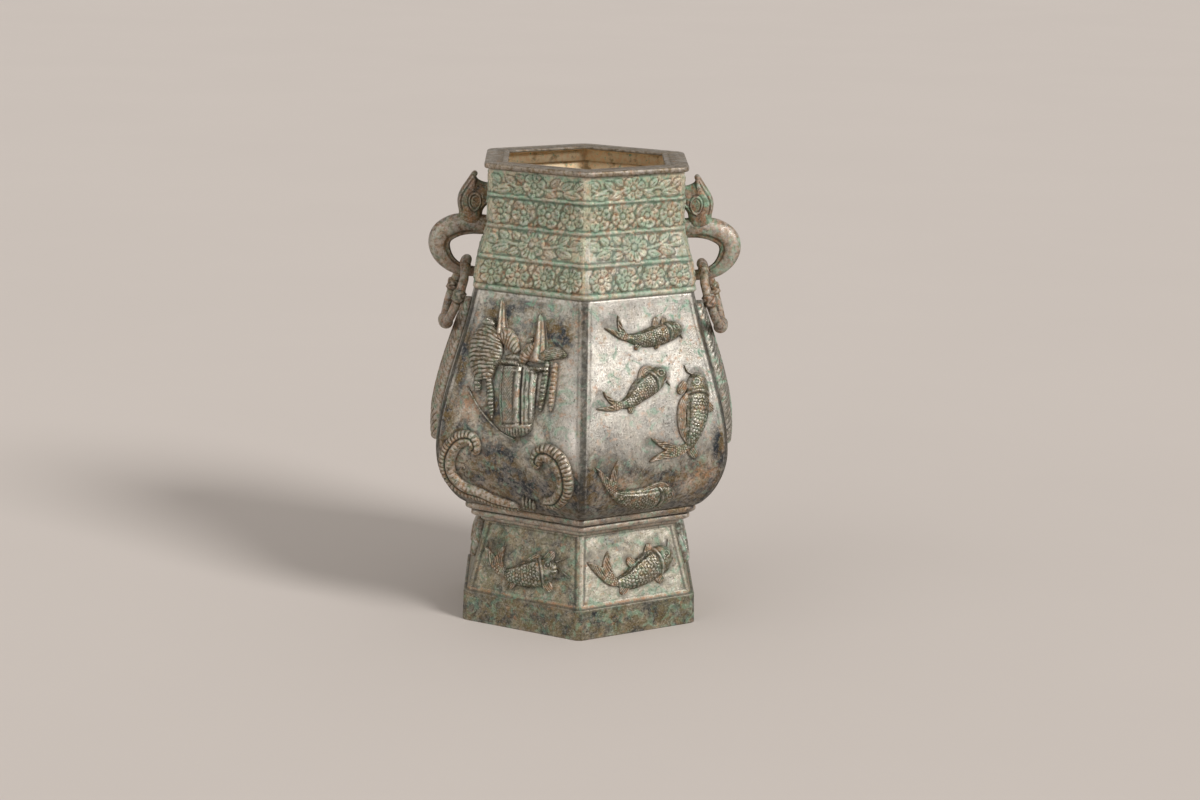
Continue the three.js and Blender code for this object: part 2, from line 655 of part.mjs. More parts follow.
function makeHandle() {
  const throatFace = wallFace(NECK_FLARE.end);
  const halves = new THREE.CatmullRomCurve3(TRUNK_SPINE.map((p, i) => new THREE.Vector3(i, p.half, 0)));
  const half = (t) => halves.getPoint(t).y;
  const spine = TRUNK_SPINE.map((p) => [wallFace(p.up) + p.out, p.up]);
  const trunk = taperedBar(spine, half, (t) => half(t) * TRUNK_SIDE_RATIO, 18, 10);
  const outline = new THREE.Shape(HEAD_OUTLINE.map(({ out, up }) => new THREE.Vector2(out, up)));
  const head = new THREE.ExtrudeGeometry(outline, {
    depth: HEAD_THICKNESS - 2 * HEAD_ROUNDING,
    bevelThickness: HEAD_ROUNDING,
    bevelSize: HEAD_ROUNDING,
    bevelOffset: -HEAD_ROUNDING,
    bevelSegments: 2,
  });
  head.translate(throatFace, 0, HEAD_ROUNDING - HEAD_THICKNESS / 2);
  const ears = new THREE.SphereGeometry(EAR_RADIUS, 10, 6);
  ears.scale(1, 1, (HEAD_THICKNESS / 2 + EAR_PROUD) / EAR_RADIUS);
  ears.translate(throatFace + EAR_CENTRE.out, EAR_CENTRE.up, 0);
  const knob = new THREE.SphereGeometry(CREST_KNOB_RADIUS, 6, 5);
  knob.translate(throatFace + CREST.out, CREST.up - CREST_KNOB_RADIUS, 0);
  const whole = join([trunk, head, ears, knob].map(upright));
  const bores = RIVETS.map(({ level }) => rivetBore(level, 0));
  return fromSolid(cut(whole, [NECK_KEEP_CLEAR, ...bores]));
}

// Loose rings

// Where the ring's top bar lies on the trunk's tip
function ringHanger() {
  const up = HOOK.up + HOOK.half + CLEARANCE + RING_BAR_RADIUS;
  return new THREE.Vector3(wallFace(HOOK.up) + HOOK.out, 0, SHOULDER + up);
}

// How far a point stands out from the plume or the bare wall of the side panel
function standOff(x, height) {
  const share = (FOOT_TOP + PLUME_TOP - height) / (PLUME_TOP - PLUME_BOTTOM);
  const plume = share >= 0 && share <= 1 ? PLUME.height * Math.sqrt(plumeShape(share)) : 0;
  const slope = slopeAt(BELLY_WALL, height) * FLAT_RATIO;
  return (x - radiusAt(BELLY_WALL, height) * FLAT_RATIO) / Math.hypot(1, slope) - plume;
}

// The least lean at which the hanging ring rests on the side panel
function ringLean() {
  const hanger = ringHanger();
  const step = THREE.MathUtils.degToRad(0.1);
  let lean = 0;
  while (lean < Math.PI / 2) {
    const x = hanger.x + 2 * RING_RADIUS * Math.sin(lean);
    const height = hanger.z - 2 * RING_RADIUS * Math.cos(lean);
    if (standOff(x, height) > RING_BAR_RADIUS + CLEARANCE) {
      break;
    }
    lean += step;
  }
  return lean;
}

// A ring drawn with its top bar at the origin, hanging down, with a ferrule on each arm
function makeRing() {
  const ring = toSolid(new THREE.TorusGeometry(RING_RADIUS, RING_BAR_RADIUS, 10, 28));
  const ferrules = [1, -1].map((side) => {
    const ferrule = new THREE.CylinderGeometry(FERRULE_RADIUS, FERRULE_RADIUS, FERRULE_LENGTH, 12);
    return toSolid(ferrule.translate(side * RING_RADIUS, 0, 0));
  });
  const geometry = fromSolid(join([ring, ...ferrules]));
  geometry.translate(0, -RING_RADIUS, 0);
  geometry.rotateX(Math.PI / 2);
  geometry.rotateZ(Math.PI / 2);
  return geometry;
}

// Materials

function bronze(colour, roughness) {
  return new THREE.MeshStandardMaterial({ color: colour, roughness, metalness: 0.85 });
}

const RIM_BRONZE = bronze(0x6f6a5e, 0.45);
const NECK_BRONZE = bronze(0x6d7a68, 0.6);
const BELLY_BRONZE = bronze(0x6b665c, 0.5);
const FOOT_BRONZE = bronze(0x6a6f60, 0.55);
const HANDLE_BRONZE = bronze(0x5a4c3c, 0.5);
const RELIEF_BRONZE = bronze(0x5c5a4a, 0.5);
const INSIDE_BRONZE = bronze(0x7a5a38, 0.7);

// Assembly

const vase = new THREE.Group();

function addPiece(group, name, geometry, material) {
  const mesh = new THREE.Mesh(geometry, material.clone());
  mesh.name = name;
  group.add(mesh);
  return mesh;
}

addPiece(vase, 'foot', makeFoot(), FOOT_BRONZE);
addPiece(vase, 'floor_plate', makeFloorPlate(), INSIDE_BRONZE);
addPiece(vase, 'belly', makeBelly(), BELLY_BRONZE);
addPiece(vase, 'neck', makeNeck(), NECK_BRONZE);
addPiece(vase, 'mouth_rim', makeRim(), RIM_BRONZE);

// The castings of the two front panels are repeated on the back by a half turn
const FRONT_CASTINGS = {
  carp_ascending: makeFish(bellyPanel(RIGHT_FRONT), CARP_ASCENDING),
  carp_turning: makeFish(bellyPanel(RIGHT_FRONT), CARP_TURNING),
  carp_leaping: makeFish(bellyPanel(RIGHT_FRONT), CARP_LEAPING),
  carp_diving: makeFish(bellyPanel(RIGHT_FRONT), CARP_DIVING),
  creel: makeCreel(bellyPanel(LEFT_FRONT)),
  drum: makeDrum(bellyPanel(LEFT_FRONT)),
  serpent_left: makeSerpent(bellyPanel(LEFT_FRONT), SERPENT_LEFT),
  serpent_right: makeSerpent(bellyPanel(LEFT_FRONT), SERPENT_RIGHT),
  foot_carp: makeFish(footPanel(RIGHT_FRONT), FOOT_CARP),
  foot_catfish: makeFish(footPanel(LEFT_FRONT), FOOT_CATFISH),
};

// The pieces of the right side are repeated on the left by a half turn
const SIDE_PIECES = {
  side_plume: { geometry: makePlume(bellyPanel(RIGHT, NO_STRETCH)), material: RELIEF_BRONZE },
  foot_leaf: { geometry: makeFootLeaf(footPanel(RIGHT)), material: RELIEF_BRONZE },
  handle: { geometry: makeHandle(), material: HANDLE_BRONZE },
  rivet_lower: { geometry: makeRivet(RIVETS[0].level), material: INSIDE_BRONZE },
  rivet_upper: { geometry: makeRivet(RIVETS[1].level), material: INSIDE_BRONZE },
};
const RING_GEOMETRY = makeRing();
const RING_LEAN = ringLean();

for (const [front, side, turn] of [['front', 'right', 0], ['back', 'left', Math.PI]]) {
  const half = new THREE.Group();
  half.rotation.z = turn;
  vase.add(half);
  for (const [name, geometry] of Object.entries(FRONT_CASTINGS)) {
    addPiece(half, `${name}_${front}`, geometry, RELIEF_BRONZE);
  }
  for (const [name, { geometry, material }] of Object.entries(SIDE_PIECES)) {
    addPiece(half, `${name}_${side}`, geometry, material);
  }
  const ring = addPiece(half, `ring_${side}`, RING_GEOMETRY, HANDLE_BRONZE);
  ring.position.copy(ringHanger());
  ring.rotation.y = -RING_LEAN;
}

export default vase;
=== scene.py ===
"""A hexagonal bronze flower vase: its castings, chased reliefs, handles, loose rings, patina and studio."""

import math

import bpy
import numpy as np
from mathutils import Matrix


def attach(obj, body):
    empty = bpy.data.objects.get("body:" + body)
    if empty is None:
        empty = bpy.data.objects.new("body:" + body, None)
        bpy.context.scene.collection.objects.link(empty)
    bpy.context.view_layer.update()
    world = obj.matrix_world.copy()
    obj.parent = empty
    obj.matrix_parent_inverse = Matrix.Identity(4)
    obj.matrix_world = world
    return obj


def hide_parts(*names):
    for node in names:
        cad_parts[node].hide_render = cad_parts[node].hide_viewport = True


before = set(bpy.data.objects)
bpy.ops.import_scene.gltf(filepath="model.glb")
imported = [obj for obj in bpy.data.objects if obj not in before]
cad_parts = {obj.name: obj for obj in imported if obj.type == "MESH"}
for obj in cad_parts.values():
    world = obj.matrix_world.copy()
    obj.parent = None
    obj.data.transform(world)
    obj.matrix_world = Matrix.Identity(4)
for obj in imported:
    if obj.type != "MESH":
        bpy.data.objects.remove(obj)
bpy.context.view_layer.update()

MM = 0.001
SIDES = 6
SIXTH_TURN = 2 * math.pi / SIDES
FLAT = math.cos(SIXTH_TURN / 2)

# Levels of the castings, from the table up, in millimetres
PLINTH_TOP = 18.4
FOOT_TOP = 61.0
WIDEST = 110.0
SHOULDER = 205.0
NECK_TOP = 276.5
RIM_TOP = 280.0

# Corner radii of the castings, in millimetres
FOOT_TOP_RADIUS = 66.8
BELLY_RADIUS = 101.0
SHOULDER_RADIUS = 75.6
NECK_RADIUS = 67.0

# The kinds of side, with the way that the front one of each looks. The back repeats them by a half turn
KINDS = {"right": -SIXTH_TURN, "end": 0.0, "left": -2 * SIXTH_TURN}

# How many smoothings show the edges and the broader relief, and how many millimetres count as fully raised
EDGE_PASSES, PROUD_PASSES = 3, 18
EDGE_FULL, PROUD_FULL = 0.06, 0.45


# Small tools for numbers

def ease(low, high, value):
    """A soft step: 0 below low, 1 above high, and a cubic between them."""
    share = np.clip((value - low) / (high - low), 0, 1)
    return share * share * (3 - 2 * share)


def ridge(distance, width):
    """A bell: 1 at no distance, and almost nothing at twice the width."""
    return np.exp(-(distance / width) ** 2)


def half_round(distance):
    """A half circle's height: 1 in the middle, and 0 from a distance of 1 on."""
    return np.sqrt(np.clip(1 - distance ** 2, 0, 1))


def circle(count):
    """Angles all the way round, evenly spaced from 0."""
    return np.linspace(0, 2 * math.pi, count, endpoint=False)


def tangents(line):
    """The way along a line at each of its points, at a length of 1."""
    along = np.gradient(line, axis=0)
    return along / np.linalg.norm(along, axis=1, keepdims=True)


def pulled_curve(start, pull, second_pull, end, count):
    """Points of a cubic curve from start to end, drawn towards the two pulls."""
    t = np.linspace(0, 1, count)[:, None]
    a, b, c, d = (np.array(p, float) for p in (start, pull, second_pull, end))
    return (1 - t) ** 3 * a + 3 * t * (1 - t) ** 2 * b + 3 * t * t * (1 - t) * c + t ** 3 * d


# How many points each stretch of a smooth path is worked out at
STRETCH_STEPS = 24


def smooth_path(points, count, closed=False):
    """A curve through the points, read at even lengths, and its length. Each stretch of it is a cubic."""
    given = np.array(points, float)
    if closed:
        ends = np.vstack([given[-1:], given, given[:2]])
    else:
        ends = np.vstack([2 * given[0] - given[1], given, 2 * given[-1] - given[-2]])
    t = np.linspace(0, 1, STRETCH_STEPS, endpoint=False)[:, None]
    stretches = [
        0.5 * (2 * b + (c - a) * t + (2 * a - 5 * b + 4 * c - d) * t ** 2 + (3 * b - a - 3 * c + d) * t ** 3)
        for a, b, c, d in zip(ends[:-3], ends[1:-2], ends[2:-1], ends[3:])
    ]
    dense = np.vstack(stretches + [ends[-2:-1]])
    steps = np.hypot(*np.diff(dense, axis=0).T)
    lengths = np.concatenate([[0], np.cumsum(steps)])
    at = np.linspace(0, lengths[-1], count, endpoint=not closed)
    return np.stack([np.interp(at, lengths, column) for column in dense.T], axis=-1), lengths[-1]


def to_linear(red, green, blue):
    """A screen colour, 0 to 255 a channel, as the linear colour that a finish takes."""
    channels = [value / 255 for value in (red, green, blue)]
    straight = [c / 12.92 if c <= 0.04045 else ((c + 0.055) / 1.055) ** 2.4 for c in channels]
    return (*straight, 1.0)


# Forms: a form is its points, its quads and its named values, one for each point

def grid_quads(rows, columns, ring=False, loop=False):
    """Quads of a grid of points. ring joins its last column to the first, and loop its last row."""
    row = np.arange(rows if loop else rows - 1)[:, None]
    column = np.arange(columns if ring else columns - 1)[None, :]
    next_row, next_column = (row + 1) % rows, (column + 1) % columns
    corners = [row * columns + column, row * columns + next_column,
               next_row * columns + next_column, next_row * columns + column]
    return np.stack(np.broadcast_arrays(*corners), axis=-1).reshape(-1, 4)


def ladder_cap(first, columns, flip):
    """Quads that close a ring of points by rungs from one half of it to the other."""
    rung = np.arange(columns // 2 - 1)
    quads = np.stack([rung, rung + 1, columns - 2 - rung, columns - 1 - rung], axis=-1) + first
    return quads[:, ::-1] if flip else quads


def closed_form(points, quads, **values):
    """A form with its quads turned outwards: their signed volume about the origin comes out positive."""
    a, b, c, d = (points[quads[:, k]] for k in range(4))
    volume = np.sum(a * np.cross(b, c)) + np.sum(a * np.cross(c, d))
    return {"points": points, "quads": quads if volume > 0 else quads[:, ::-1], "values": values}


def tube_form(grid, **values):
    """A closed form from rows of rings: the columns run round, and both ends are capped."""
    rows, columns = grid.shape[:2]
    quads = np.vstack([
        grid_quads(rows, columns, ring=True),
        ladder_cap(0, columns, True),
        ladder_cap((rows - 1) * columns, columns, False),
    ])
    flat = {name: np.broadcast_to(value, (rows, columns)).ravel() for name, value in values.items()}
    return closed_form(grid.reshape(-1, 3), quads, **flat)


def joined(forms):
    """Several forms as one, their points and values one after the other."""
    counts = np.cumsum([0] + [len(form["points"]) for form in forms])
    names = sorted({name for form in forms for name in form["values"]})

    def value(form, name):
        return form["values"].get(name, np.zeros(len(form["points"])))

    return {
        "points": np.vstack([form["points"] for form in forms]),
        "quads": np.vstack([form["quads"] + first for form, first in zip(forms, counts)]),
        "values": {name: np.concatenate([value(form, name) for form in forms]) for name in names},
    }


def turned(form, angle):
    """The form turned about the vase's axis."""
    c, s = math.cos(angle), math.sin(angle)
    return {**form, "points": form["points"] @ np.array([[c, s, 0], [-s, c, 0], [0, 0, 1.0]])}


def gather(values, pairs, count):
    """For each point, the sum of the values of the points that a pair joins to it."""
    columns = values.reshape(count, -1).T
    sums = [np.bincount(pairs[:, 0], column[pairs[:, 1]], count) for column in columns]
    return np.stack(sums, axis=-1).reshape(values.shape)


def wear(form):
    """How far each point stands proud of the smoothed surface, close by and more broadly, in millimetres.

    The surface is smoothed by moving each point to the mean of its neighbours, a few times for the edges and
    more often for the broader relief, and the loss is read along the point's own normal.
    """
    points, quads = form["points"], form["quads"]
    count = len(points)
    edges = np.vstack([quads[:, [0, 1]], quads[:, [1, 2]], quads[:, [2, 3]], quads[:, [3, 0]]])
    pairs = np.vstack([edges, edges[:, ::-1]])
    meeting = np.maximum(np.bincount(pairs[:, 0], minlength=count), 1)[:, None]
    across = np.cross(points[quads[:, 2]] - points[quads[:, 0]], points[quads[:, 3]] - points[quads[:, 1]])
    normals = sum(np.stack([np.bincount(quads[:, k], across[:, axis], count) for axis in range(3)], axis=-1)
                  for k in range(4))
    normals /= np.maximum(np.linalg.norm(normals, axis=1, keepdims=True), 1e-9)
    smoothed, losses = points, []
    for step in range(1, PROUD_PASSES + 1):
        smoothed = gather(smoothed, pairs, count) / meeting
        if step in (EDGE_PASSES, PROUD_PASSES):
            losses.append(np.sum((points - smoothed) * normals, axis=1))
    return losses


def make_piece(name, form, body, finish, solid):
    """A piece of the vase from a form: it rides on a body, takes a finish and stands for a solid."""
    edge, proud = wear(form)
    mesh = bpy.data.meshes.new(name)
    quads = form["quads"]
    mesh.vertices.add(len(form["points"]))
    mesh.vertices.foreach_set("co", (form["points"] * MM).astype(np.float32).ravel())
    mesh.loops.add(quads.size)
    mesh.loops.foreach_set("vertex_index", quads.astype(np.int32).ravel())
    mesh.polygons.add(len(quads))
    mesh.polygons.foreach_set("loop_start", np.arange(0, quads.size, 4, dtype=np.int32))
    mesh.polygons.foreach_set("use_smooth", np.ones(len(quads), dtype=bool))
    mesh.update(calc_edges=True)
    mesh.validate()
    raised = {"edge": np.clip(edge / EDGE_FULL, -1, 1), "proud": np.clip(proud / PROUD_FULL, -1, 1)}
    for value_name, value in {**raised, **form["values"]}.items():
        layer = mesh.attributes.new(value_name, "FLOAT", "POINT")
        layer.data.foreach_set("value", value.astype(np.float32))
    mesh.materials.append(finish)
    piece = bpy.data.objects.new(name, mesh)
    bpy.context.scene.collection.objects.link(piece)
    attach(piece, body)
    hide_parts(solid)


# Finishes

class Finish:
    """A finish being mixed from nodes. Sizes are in millimetres of the piece's own place."""

    def __init__(self, name):
        self.material = bpy.data.materials.new(name)
        self.material.use_nodes = True
        self.tree = self.material.node_tree
        self.shader = self.tree.nodes["Principled BSDF"]
        place = self.add("ShaderNodeTexCoord").outputs["Object"]
        scaled = self.add("ShaderNodeVectorMath", {0: place, "Scale": 1 / MM}, operation="SCALE")
        self.place = scaled.outputs[0]

    def add(self, kind, inputs=None, **settings):
        """A node, with its settings and its inputs, which are values or other nodes' outputs."""
        node = self.tree.nodes.new(kind)
        for key, value in settings.items():
            setattr(node, key, value)
        for key, value in (inputs or {}).items():
            if isinstance(value, bpy.types.NodeSocket):
                self.tree.links.new(value, node.inputs[key])
            else:
                node.inputs[key].default_value = value
        return node

    def combined(self, operation, result, *others):
        """Numbers taken together one after another, with each result kept between 0 and 1."""
        for other in others:
            node = self.add("ShaderNodeMath", {0: result, 1: other}, operation=operation, use_clamp=True)
            result = node.outputs[0]
        return result

    def product(self, *numbers):
        return self.combined("MULTIPLY", *numbers)

    def total(self, *numbers):
        return self.combined("ADD", *numbers)

    def largest(self, *numbers):
        return self.combined("MAXIMUM", *numbers)

    def value(self, name):
        """A value that the piece carries at each point."""
        return self.add("ShaderNodeAttribute", attribute_name=name).outputs["Fac"]

    def step(self, value, low, high):
        """A soft step of a value from 0 at low to 1 at high."""
        inputs = {"Value": value, "From Min": low, "From Max": high}
        return self.add("ShaderNodeMapRange", inputs, interpolation_type="SMOOTHSTEP").outputs[0]

    def patches(self, size, low, high, detail=4.0, shift=0.0, stretch=(1, 1, 1), smoky=0.0):
        """Patches of about a size: 0 where a cloudy noise lies below low and 1 where it lies above high."""
        mapping = {"Vector": self.place, "Location": (shift, shift, shift), "Scale": stretch}
        place = self.add("ShaderNodeMapping", mapping).outputs[0]
        noise = {"Vector": place, "Scale": 1 / size, "Detail": detail, "Roughness": 0.62, "Distortion": smoky}
        return self.step(self.add("ShaderNodeTexNoise", noise).outputs[0], low, high)

    def mix(self, share, first, second):
        """The first colour with a share of the second laid over it."""
        inputs = {0: share, 6: first, 7: second}
        return self.add("ShaderNodeMix", inputs, data_type="RGBA").outputs[2]

    def blend(self, share, first, second):
        """The first number with a share of the second."""
        inputs = {0: share, 2: first, 3: second}
        return self.add("ShaderNodeMix", inputs, data_type="FLOAT").outputs[0]


VERDIGRIS = to_linear(142, 192, 164)
TEAL = to_linear(82, 138, 114)
RUST = to_linear(198, 140, 98)
CLAY = to_linear(164, 134, 96)
BRIGHT = to_linear(208, 202, 194)
# The colour of the painted glare highlight
GLARE_COLOUR = to_linear(246, 240, 232)
PEWTER = to_linear(148, 144, 139)
TARNISH = to_linear(48, 54, 60)
BROWN = to_linear(106, 88, 56)
# Soot, which also serves as painted shade in creases, hollows and shaded places
SOOT_AND_SHADE = to_linear(44, 40, 32)
CREAM = to_linear(246, 228, 194)
APRICOT = to_linear(246, 214, 170)
UMBER = to_linear(172, 150, 114)


def clouded_ground(f, ground, shade):
    """The ground, clouded and grained with its shade and scuffed bright in places."""
    colour = f.mix(f.patches(12.0, 0.38, 0.62, 6.0, smoky=1.2), ground, shade)
    colour = f.mix(f.product(f.patches(0.8, 0.36, 0.64, 3.0, 31), 0.45), colour, shade)
    return f.mix(f.product(f.patches(4.0, 0.52, 0.64, 8.0, 303, smoky=0.6), 0.4), colour, BRIGHT)


def polished_metal(f, silver):
    """Bright metal, faintly streaked from top to bottom, turning to a painted glare highlight where the
    piece's silver value passes 1.
    """
    streaks = f.patches(1.6, 0.34, 0.7, 5.0, 211, (1, 1, 0.1))
    metal = f.mix(f.total(f.product(streaks, 0.4), 0.15), BRIGHT, PEWTER)
    return f.mix(f.step(silver, 1.0, 1.5), metal, GLARE_COLOUR)


def speckled(f, colour):
    """The colour with fine dark specks, fine bright specks and sooty pits."""
    colour = f.mix(f.product(f.patches(1.0, 0.46, 0.66, 4.0, 501), 0.2), colour, SOOT_AND_SHADE)
    colour = f.mix(f.product(f.patches(1.1, 0.5, 0.68, 4.0, 601), 0.26), colour, BRIGHT)
    return f.mix(f.product(f.patches(1.4, 0.62, 0.68, 2.0, 149), 0.6), colour, SOOT_AND_SHADE)


def brightened_raw_skin(f):
    """The casting skin inside, which has no patina: two creams with brown patches and specks of verdigris,
    painted much lighter than the bare metal is, as painted light in the dim inside.
    """
    raw = f.mix(f.patches(3.0, 0.42, 0.62, 5.0, 101), CREAM, APRICOT)
    raw = f.mix(f.patches(8.0, 0.5, 0.66, 6.0, 117), raw, UMBER)
    return f.mix(f.patches(2.0, 0.6, 0.68, 5.0, 131), raw, VERDIGRIS)


def cast_surface(f, grain):
    """The bump of the cast skin: fine, middling and broad dents, this many millimetres deep."""
    fine = f.blend(0.5, f.patches(1.5, 0.0, 1.0, 6.0, 11), f.patches(0.5, 0.0, 1.0, 3.0, 43))
    dents = f.blend(0.35, fine, f.patches(8.0, 0.0, 1.0, 2.0, 67))
    return f.add("ShaderNodeBump", {"Height": dents, "Strength": 1.0, "Distance": grain * MM}).outputs[0]


def bronze(name, ground, shade, green_from, earth_from, tarnish_from, gloss, worn=0.6, soot_and_shade=0.55, grain=0.9,
           flecked=0.5, hollowed=1.0):
    """A patinated bronze, laid in coats.

    On the clouded ground, bright metal shows where the piece says that it is silvery, which is partly silvery
    wear and partly a painted sheen, turning to a painted glare where that value passes 1. Dark tarnish lies in
    flecks, in broad patches and in the piece's own stains, and earthy rust and verdigris lie in small ones.
    Edges and what stands proud are worn bright. Creases and hollows, and the places that the piece marks as
    grimy or shaded, are darkened with soot and painted shade. green_from, earth_from and tarnish_from are the
    cloudiness at which those coats begin: the lower, the more of each.
    """
    f = Finish(name)
    values = ("proud", "edge", "grime", "green", "silver", "inside")
    proud, edge, grime, green, silver, inside = (f.value(key) for key in values)
    hollow = f.product(proud, -1.0)
    unsilvered = f.combined("SUBTRACT", 1.0, f.product(silver, 0.8))
    mottle = f.patches(2.6, 0.38, 0.64)
    broken = f.patches(6.0, 0.42, 0.56, 8.0, 71, smoky=1.0)
    stain_colour = f.mix(f.patches(9.0, 0.44, 0.58, 3.0, 61), TARNISH, BROWN)

    colour = clouded_ground(f, to_linear(*ground), to_linear(*shade))
    flecks = f.product(f.patches(5.0, 0.47, 0.60, 9.0, 23, smoky=1.5), unsilvered, flecked)
    colour = f.mix(flecks, colour, f.mix(f.patches(7.0, 0.42, 0.58, 3.0, 401), TARNISH, BROWN))
    colour = f.mix(f.product(silver, f.blend(mottle, 1.0, 0.72)), colour, polished_metal(f, silver))

    stains = f.product(f.value("tarnish"), f.blend(broken, 0.6, 1.0))
    broad = f.patches(20.0, tarnish_from, tarnish_from + 0.13, 8.0, 57, smoky=1.0)
    tarnish = f.largest(f.product(broad, unsilvered, f.blend(mottle, 0.9, 0.5)), stains)
    colour = f.mix(tarnish, colour, stain_colour)

    earth = f.product(f.patches(4.6, earth_from, earth_from + 0.12, 7.0, 83), f.total(hollow, 0.5))
    earth = f.largest(earth, f.product(f.value("earthy"), f.patches(2.6, 0.36, 0.56, 5.0, 89)))
    colour = f.mix(f.product(earth, 0.75), colour, f.mix(f.patches(3.0, 0.45, 0.6, 3.0, 93), RUST, CLAY))

    bloom = f.patches(7.0, green_from, green_from + 0.14, 7.0, 19, smoky=0.8)
    bloom = f.product(bloom, f.total(f.product(hollow, 0.5), f.total(green, 0.4)))
    colour = f.mix(f.product(bloom, 0.72), colour, f.mix(mottle, VERDIGRIS, TEAL))
    colour = f.mix(f.product(stains, f.blend(broken, 0.45, 0.95)), colour, stain_colour)
    colour = speckled(f, colour)

    raised = f.total(f.product(edge, 0.7), f.product(proud, 0.5))
    rubbed = f.product(f.step(raised, 0.15, 1.0), f.patches(2.4, 0.38, 0.60, 6.0, 7))
    colour = f.mix(f.product(rubbed, worn), colour, BRIGHT)
    # Soot with painted shade in creases, hollows and the places that the piece marks as grimy or shaded
    creases = f.product(f.step(f.product(edge, -1.0), 0.2, 1.0), 0.8)
    sunken = f.product(f.step(hollow, 0.0, 1.0), hollowed)
    dirt_and_shade = f.largest(sunken, creases, f.product(grime, f.blend(mottle, 1.0, 0.65)))
    colour = f.mix(f.product(dirt_and_shade, soot_and_shade), colour, SOOT_AND_SHADE)
    # The inside takes the raw skin, painted much lighter than the bare metal as painted light
    colour = f.mix(inside, colour, brightened_raw_skin(f))

    dull = f.largest(earth, bloom, dirt_and_shade, inside)
    shader = {
        "Base Color": colour,
        "Metallic": f.blend(dull, 0.75, 0.15),
        "Roughness": f.blend(dull, f.blend(mottle, gloss, gloss + 0.12), 0.75),
        "Normal": cast_surface(f, grain),
    }
    for key, value in shader.items():
        f.tree.links.new(value, f.shader.inputs[key])
    return f.material


RIM_BRONZE = bronze("rim_bronze", (136, 116, 86), (102, 86, 60), green_from=0.62, earth_from=0.56,
                    tarnish_from=0.58, gloss=0.36, worn=0.3, soot_and_shade=0.6, grain=0.4, flecked=0.3)
NECK_BRONZE = bronze("neck_bronze", (250, 240, 212), (192, 198, 170), green_from=0.42, earth_from=0.45,
                     tarnish_from=0.62, gloss=0.36, worn=0.45, soot_and_shade=0.7, grain=0.6, flecked=0.4, hollowed=0.1)
BELLY_BRONZE = bronze("belly_bronze", (206, 198, 180), (134, 138, 128), green_from=0.52, earth_from=0.55,
                      tarnish_from=0.46, gloss=0.28, worn=0.5, soot_and_shade=0.85, grain=0.3, flecked=0.9)
FOOT_BRONZE = bronze("foot_bronze", (186, 176, 154), (136, 134, 106), green_from=0.50, earth_from=0.55,
                     tarnish_from=0.49, gloss=0.36, worn=0.12, soot_and_shade=0.7, grain=0.4, flecked=0.6, hollowed=0.6)
RELIEF_BRONZE = bronze("relief_bronze", (124, 112, 86), (78, 82, 60), green_from=0.49, earth_from=0.53,
                       tarnish_from=0.56, gloss=0.25, worn=0.5, soot_and_shade=0.92, grain=0.35, flecked=0.5)
HANDLE_BRONZE = bronze("handle_bronze", (134, 112, 82), (88, 74, 52), green_from=0.47, earth_from=0.55,
                       tarnish_from=0.56, gloss=0.25, worn=0.4, soot_and_shade=0.75, grain=0.4, flecked=0.5)
INSIDE_BRONZE = bronze("inside_bronze", (178, 152, 112), (130, 108, 78), green_from=0.58, earth_from=0.46,
                       tarnish_from=0.56, gloss=0.55)


# Walls: corner radius over height

class Wall:
    """A wall's outline, read between its points as a corner radius at a height."""

    def __init__(self, points):
        self.radii, self.heights = np.array(points, float).T

    def radius(self, height):
        return np.interp(height, self.heights, self.radii)

    def slope(self, height):
        return (self.radius(height + 1.0) - self.radius(height - 1.0)) / 2.0


BELLY_WALL = Wall(np.vstack([
    pulled_curve((83, 75), (92, 82), (BELLY_RADIUS, 94), (BELLY_RADIUS, WIDEST), 40),
    pulled_curve((BELLY_RADIUS, WIDEST), (BELLY_RADIUS, 138), (82.6, 172),
                 (SHOULDER_RADIUS, SHOULDER), 60)[1:],
]))
NECK_WALL = Wall(np.vstack([
    [(SHOULDER_RADIUS, SHOULDER)],
    pulled_curve((SHOULDER_RADIUS, 209), (SHOULDER_RADIUS, 219), (69.5, 233), (NECK_RADIUS, 244), 40),
    [(NECK_RADIUS, NECK_TOP)],
]))
FOOT_WALL = Wall([(79, 19.8), (FOOT_TOP_RADIUS, FOOT_TOP)])


class Panel:
    """A flat side that looks towards an angle. A point on it lies s to the right, at a height, and h out.

    outlines holds the castings on it, as rows of their middle line and half width, for the painted shadow
    round them.
    """

    def __init__(self, wall, angle, base, sunk=0.0):
        self.wall, self.angle, self.base, self.sunk = wall, angle, base, sunk
        self.outlines = []

    def place(self, s, height, h):
        """The wall's apothem at the height, moved s across and h square to the wall's slope."""
        lean = -self.wall.slope(height) * FLAT
        length = np.sqrt(1 + lean ** 2)
        reach = self.wall.radius(height) * FLAT + (h - self.sunk) / length
        c, n = math.cos(self.angle), math.sin(self.angle)
        return np.stack([c * reach - n * s, n * reach + c * s, height + h * lean / length], axis=-1)

    def shadow(self, s, height, reach):
        """Painted shadow round the castings on this side: full at their outlines, none at a reach from them.
        """
        gap = np.full(s.shape, 99.0)
        for outline in self.outlines:
            for line_s, line_z, half in outline:
                gap = np.minimum(gap, np.hypot(s - line_s, height - line_z) - half)
        return 1 - ease(0, reach, gap)


# Six-sided castings

def corner_direction(number):
    """Which way a corner of the hexagon lies. The first one lies towards the camera."""
    return np.array([math.sin(number * SIXTH_TURN), -math.cos(number * SIXTH_TURN)])


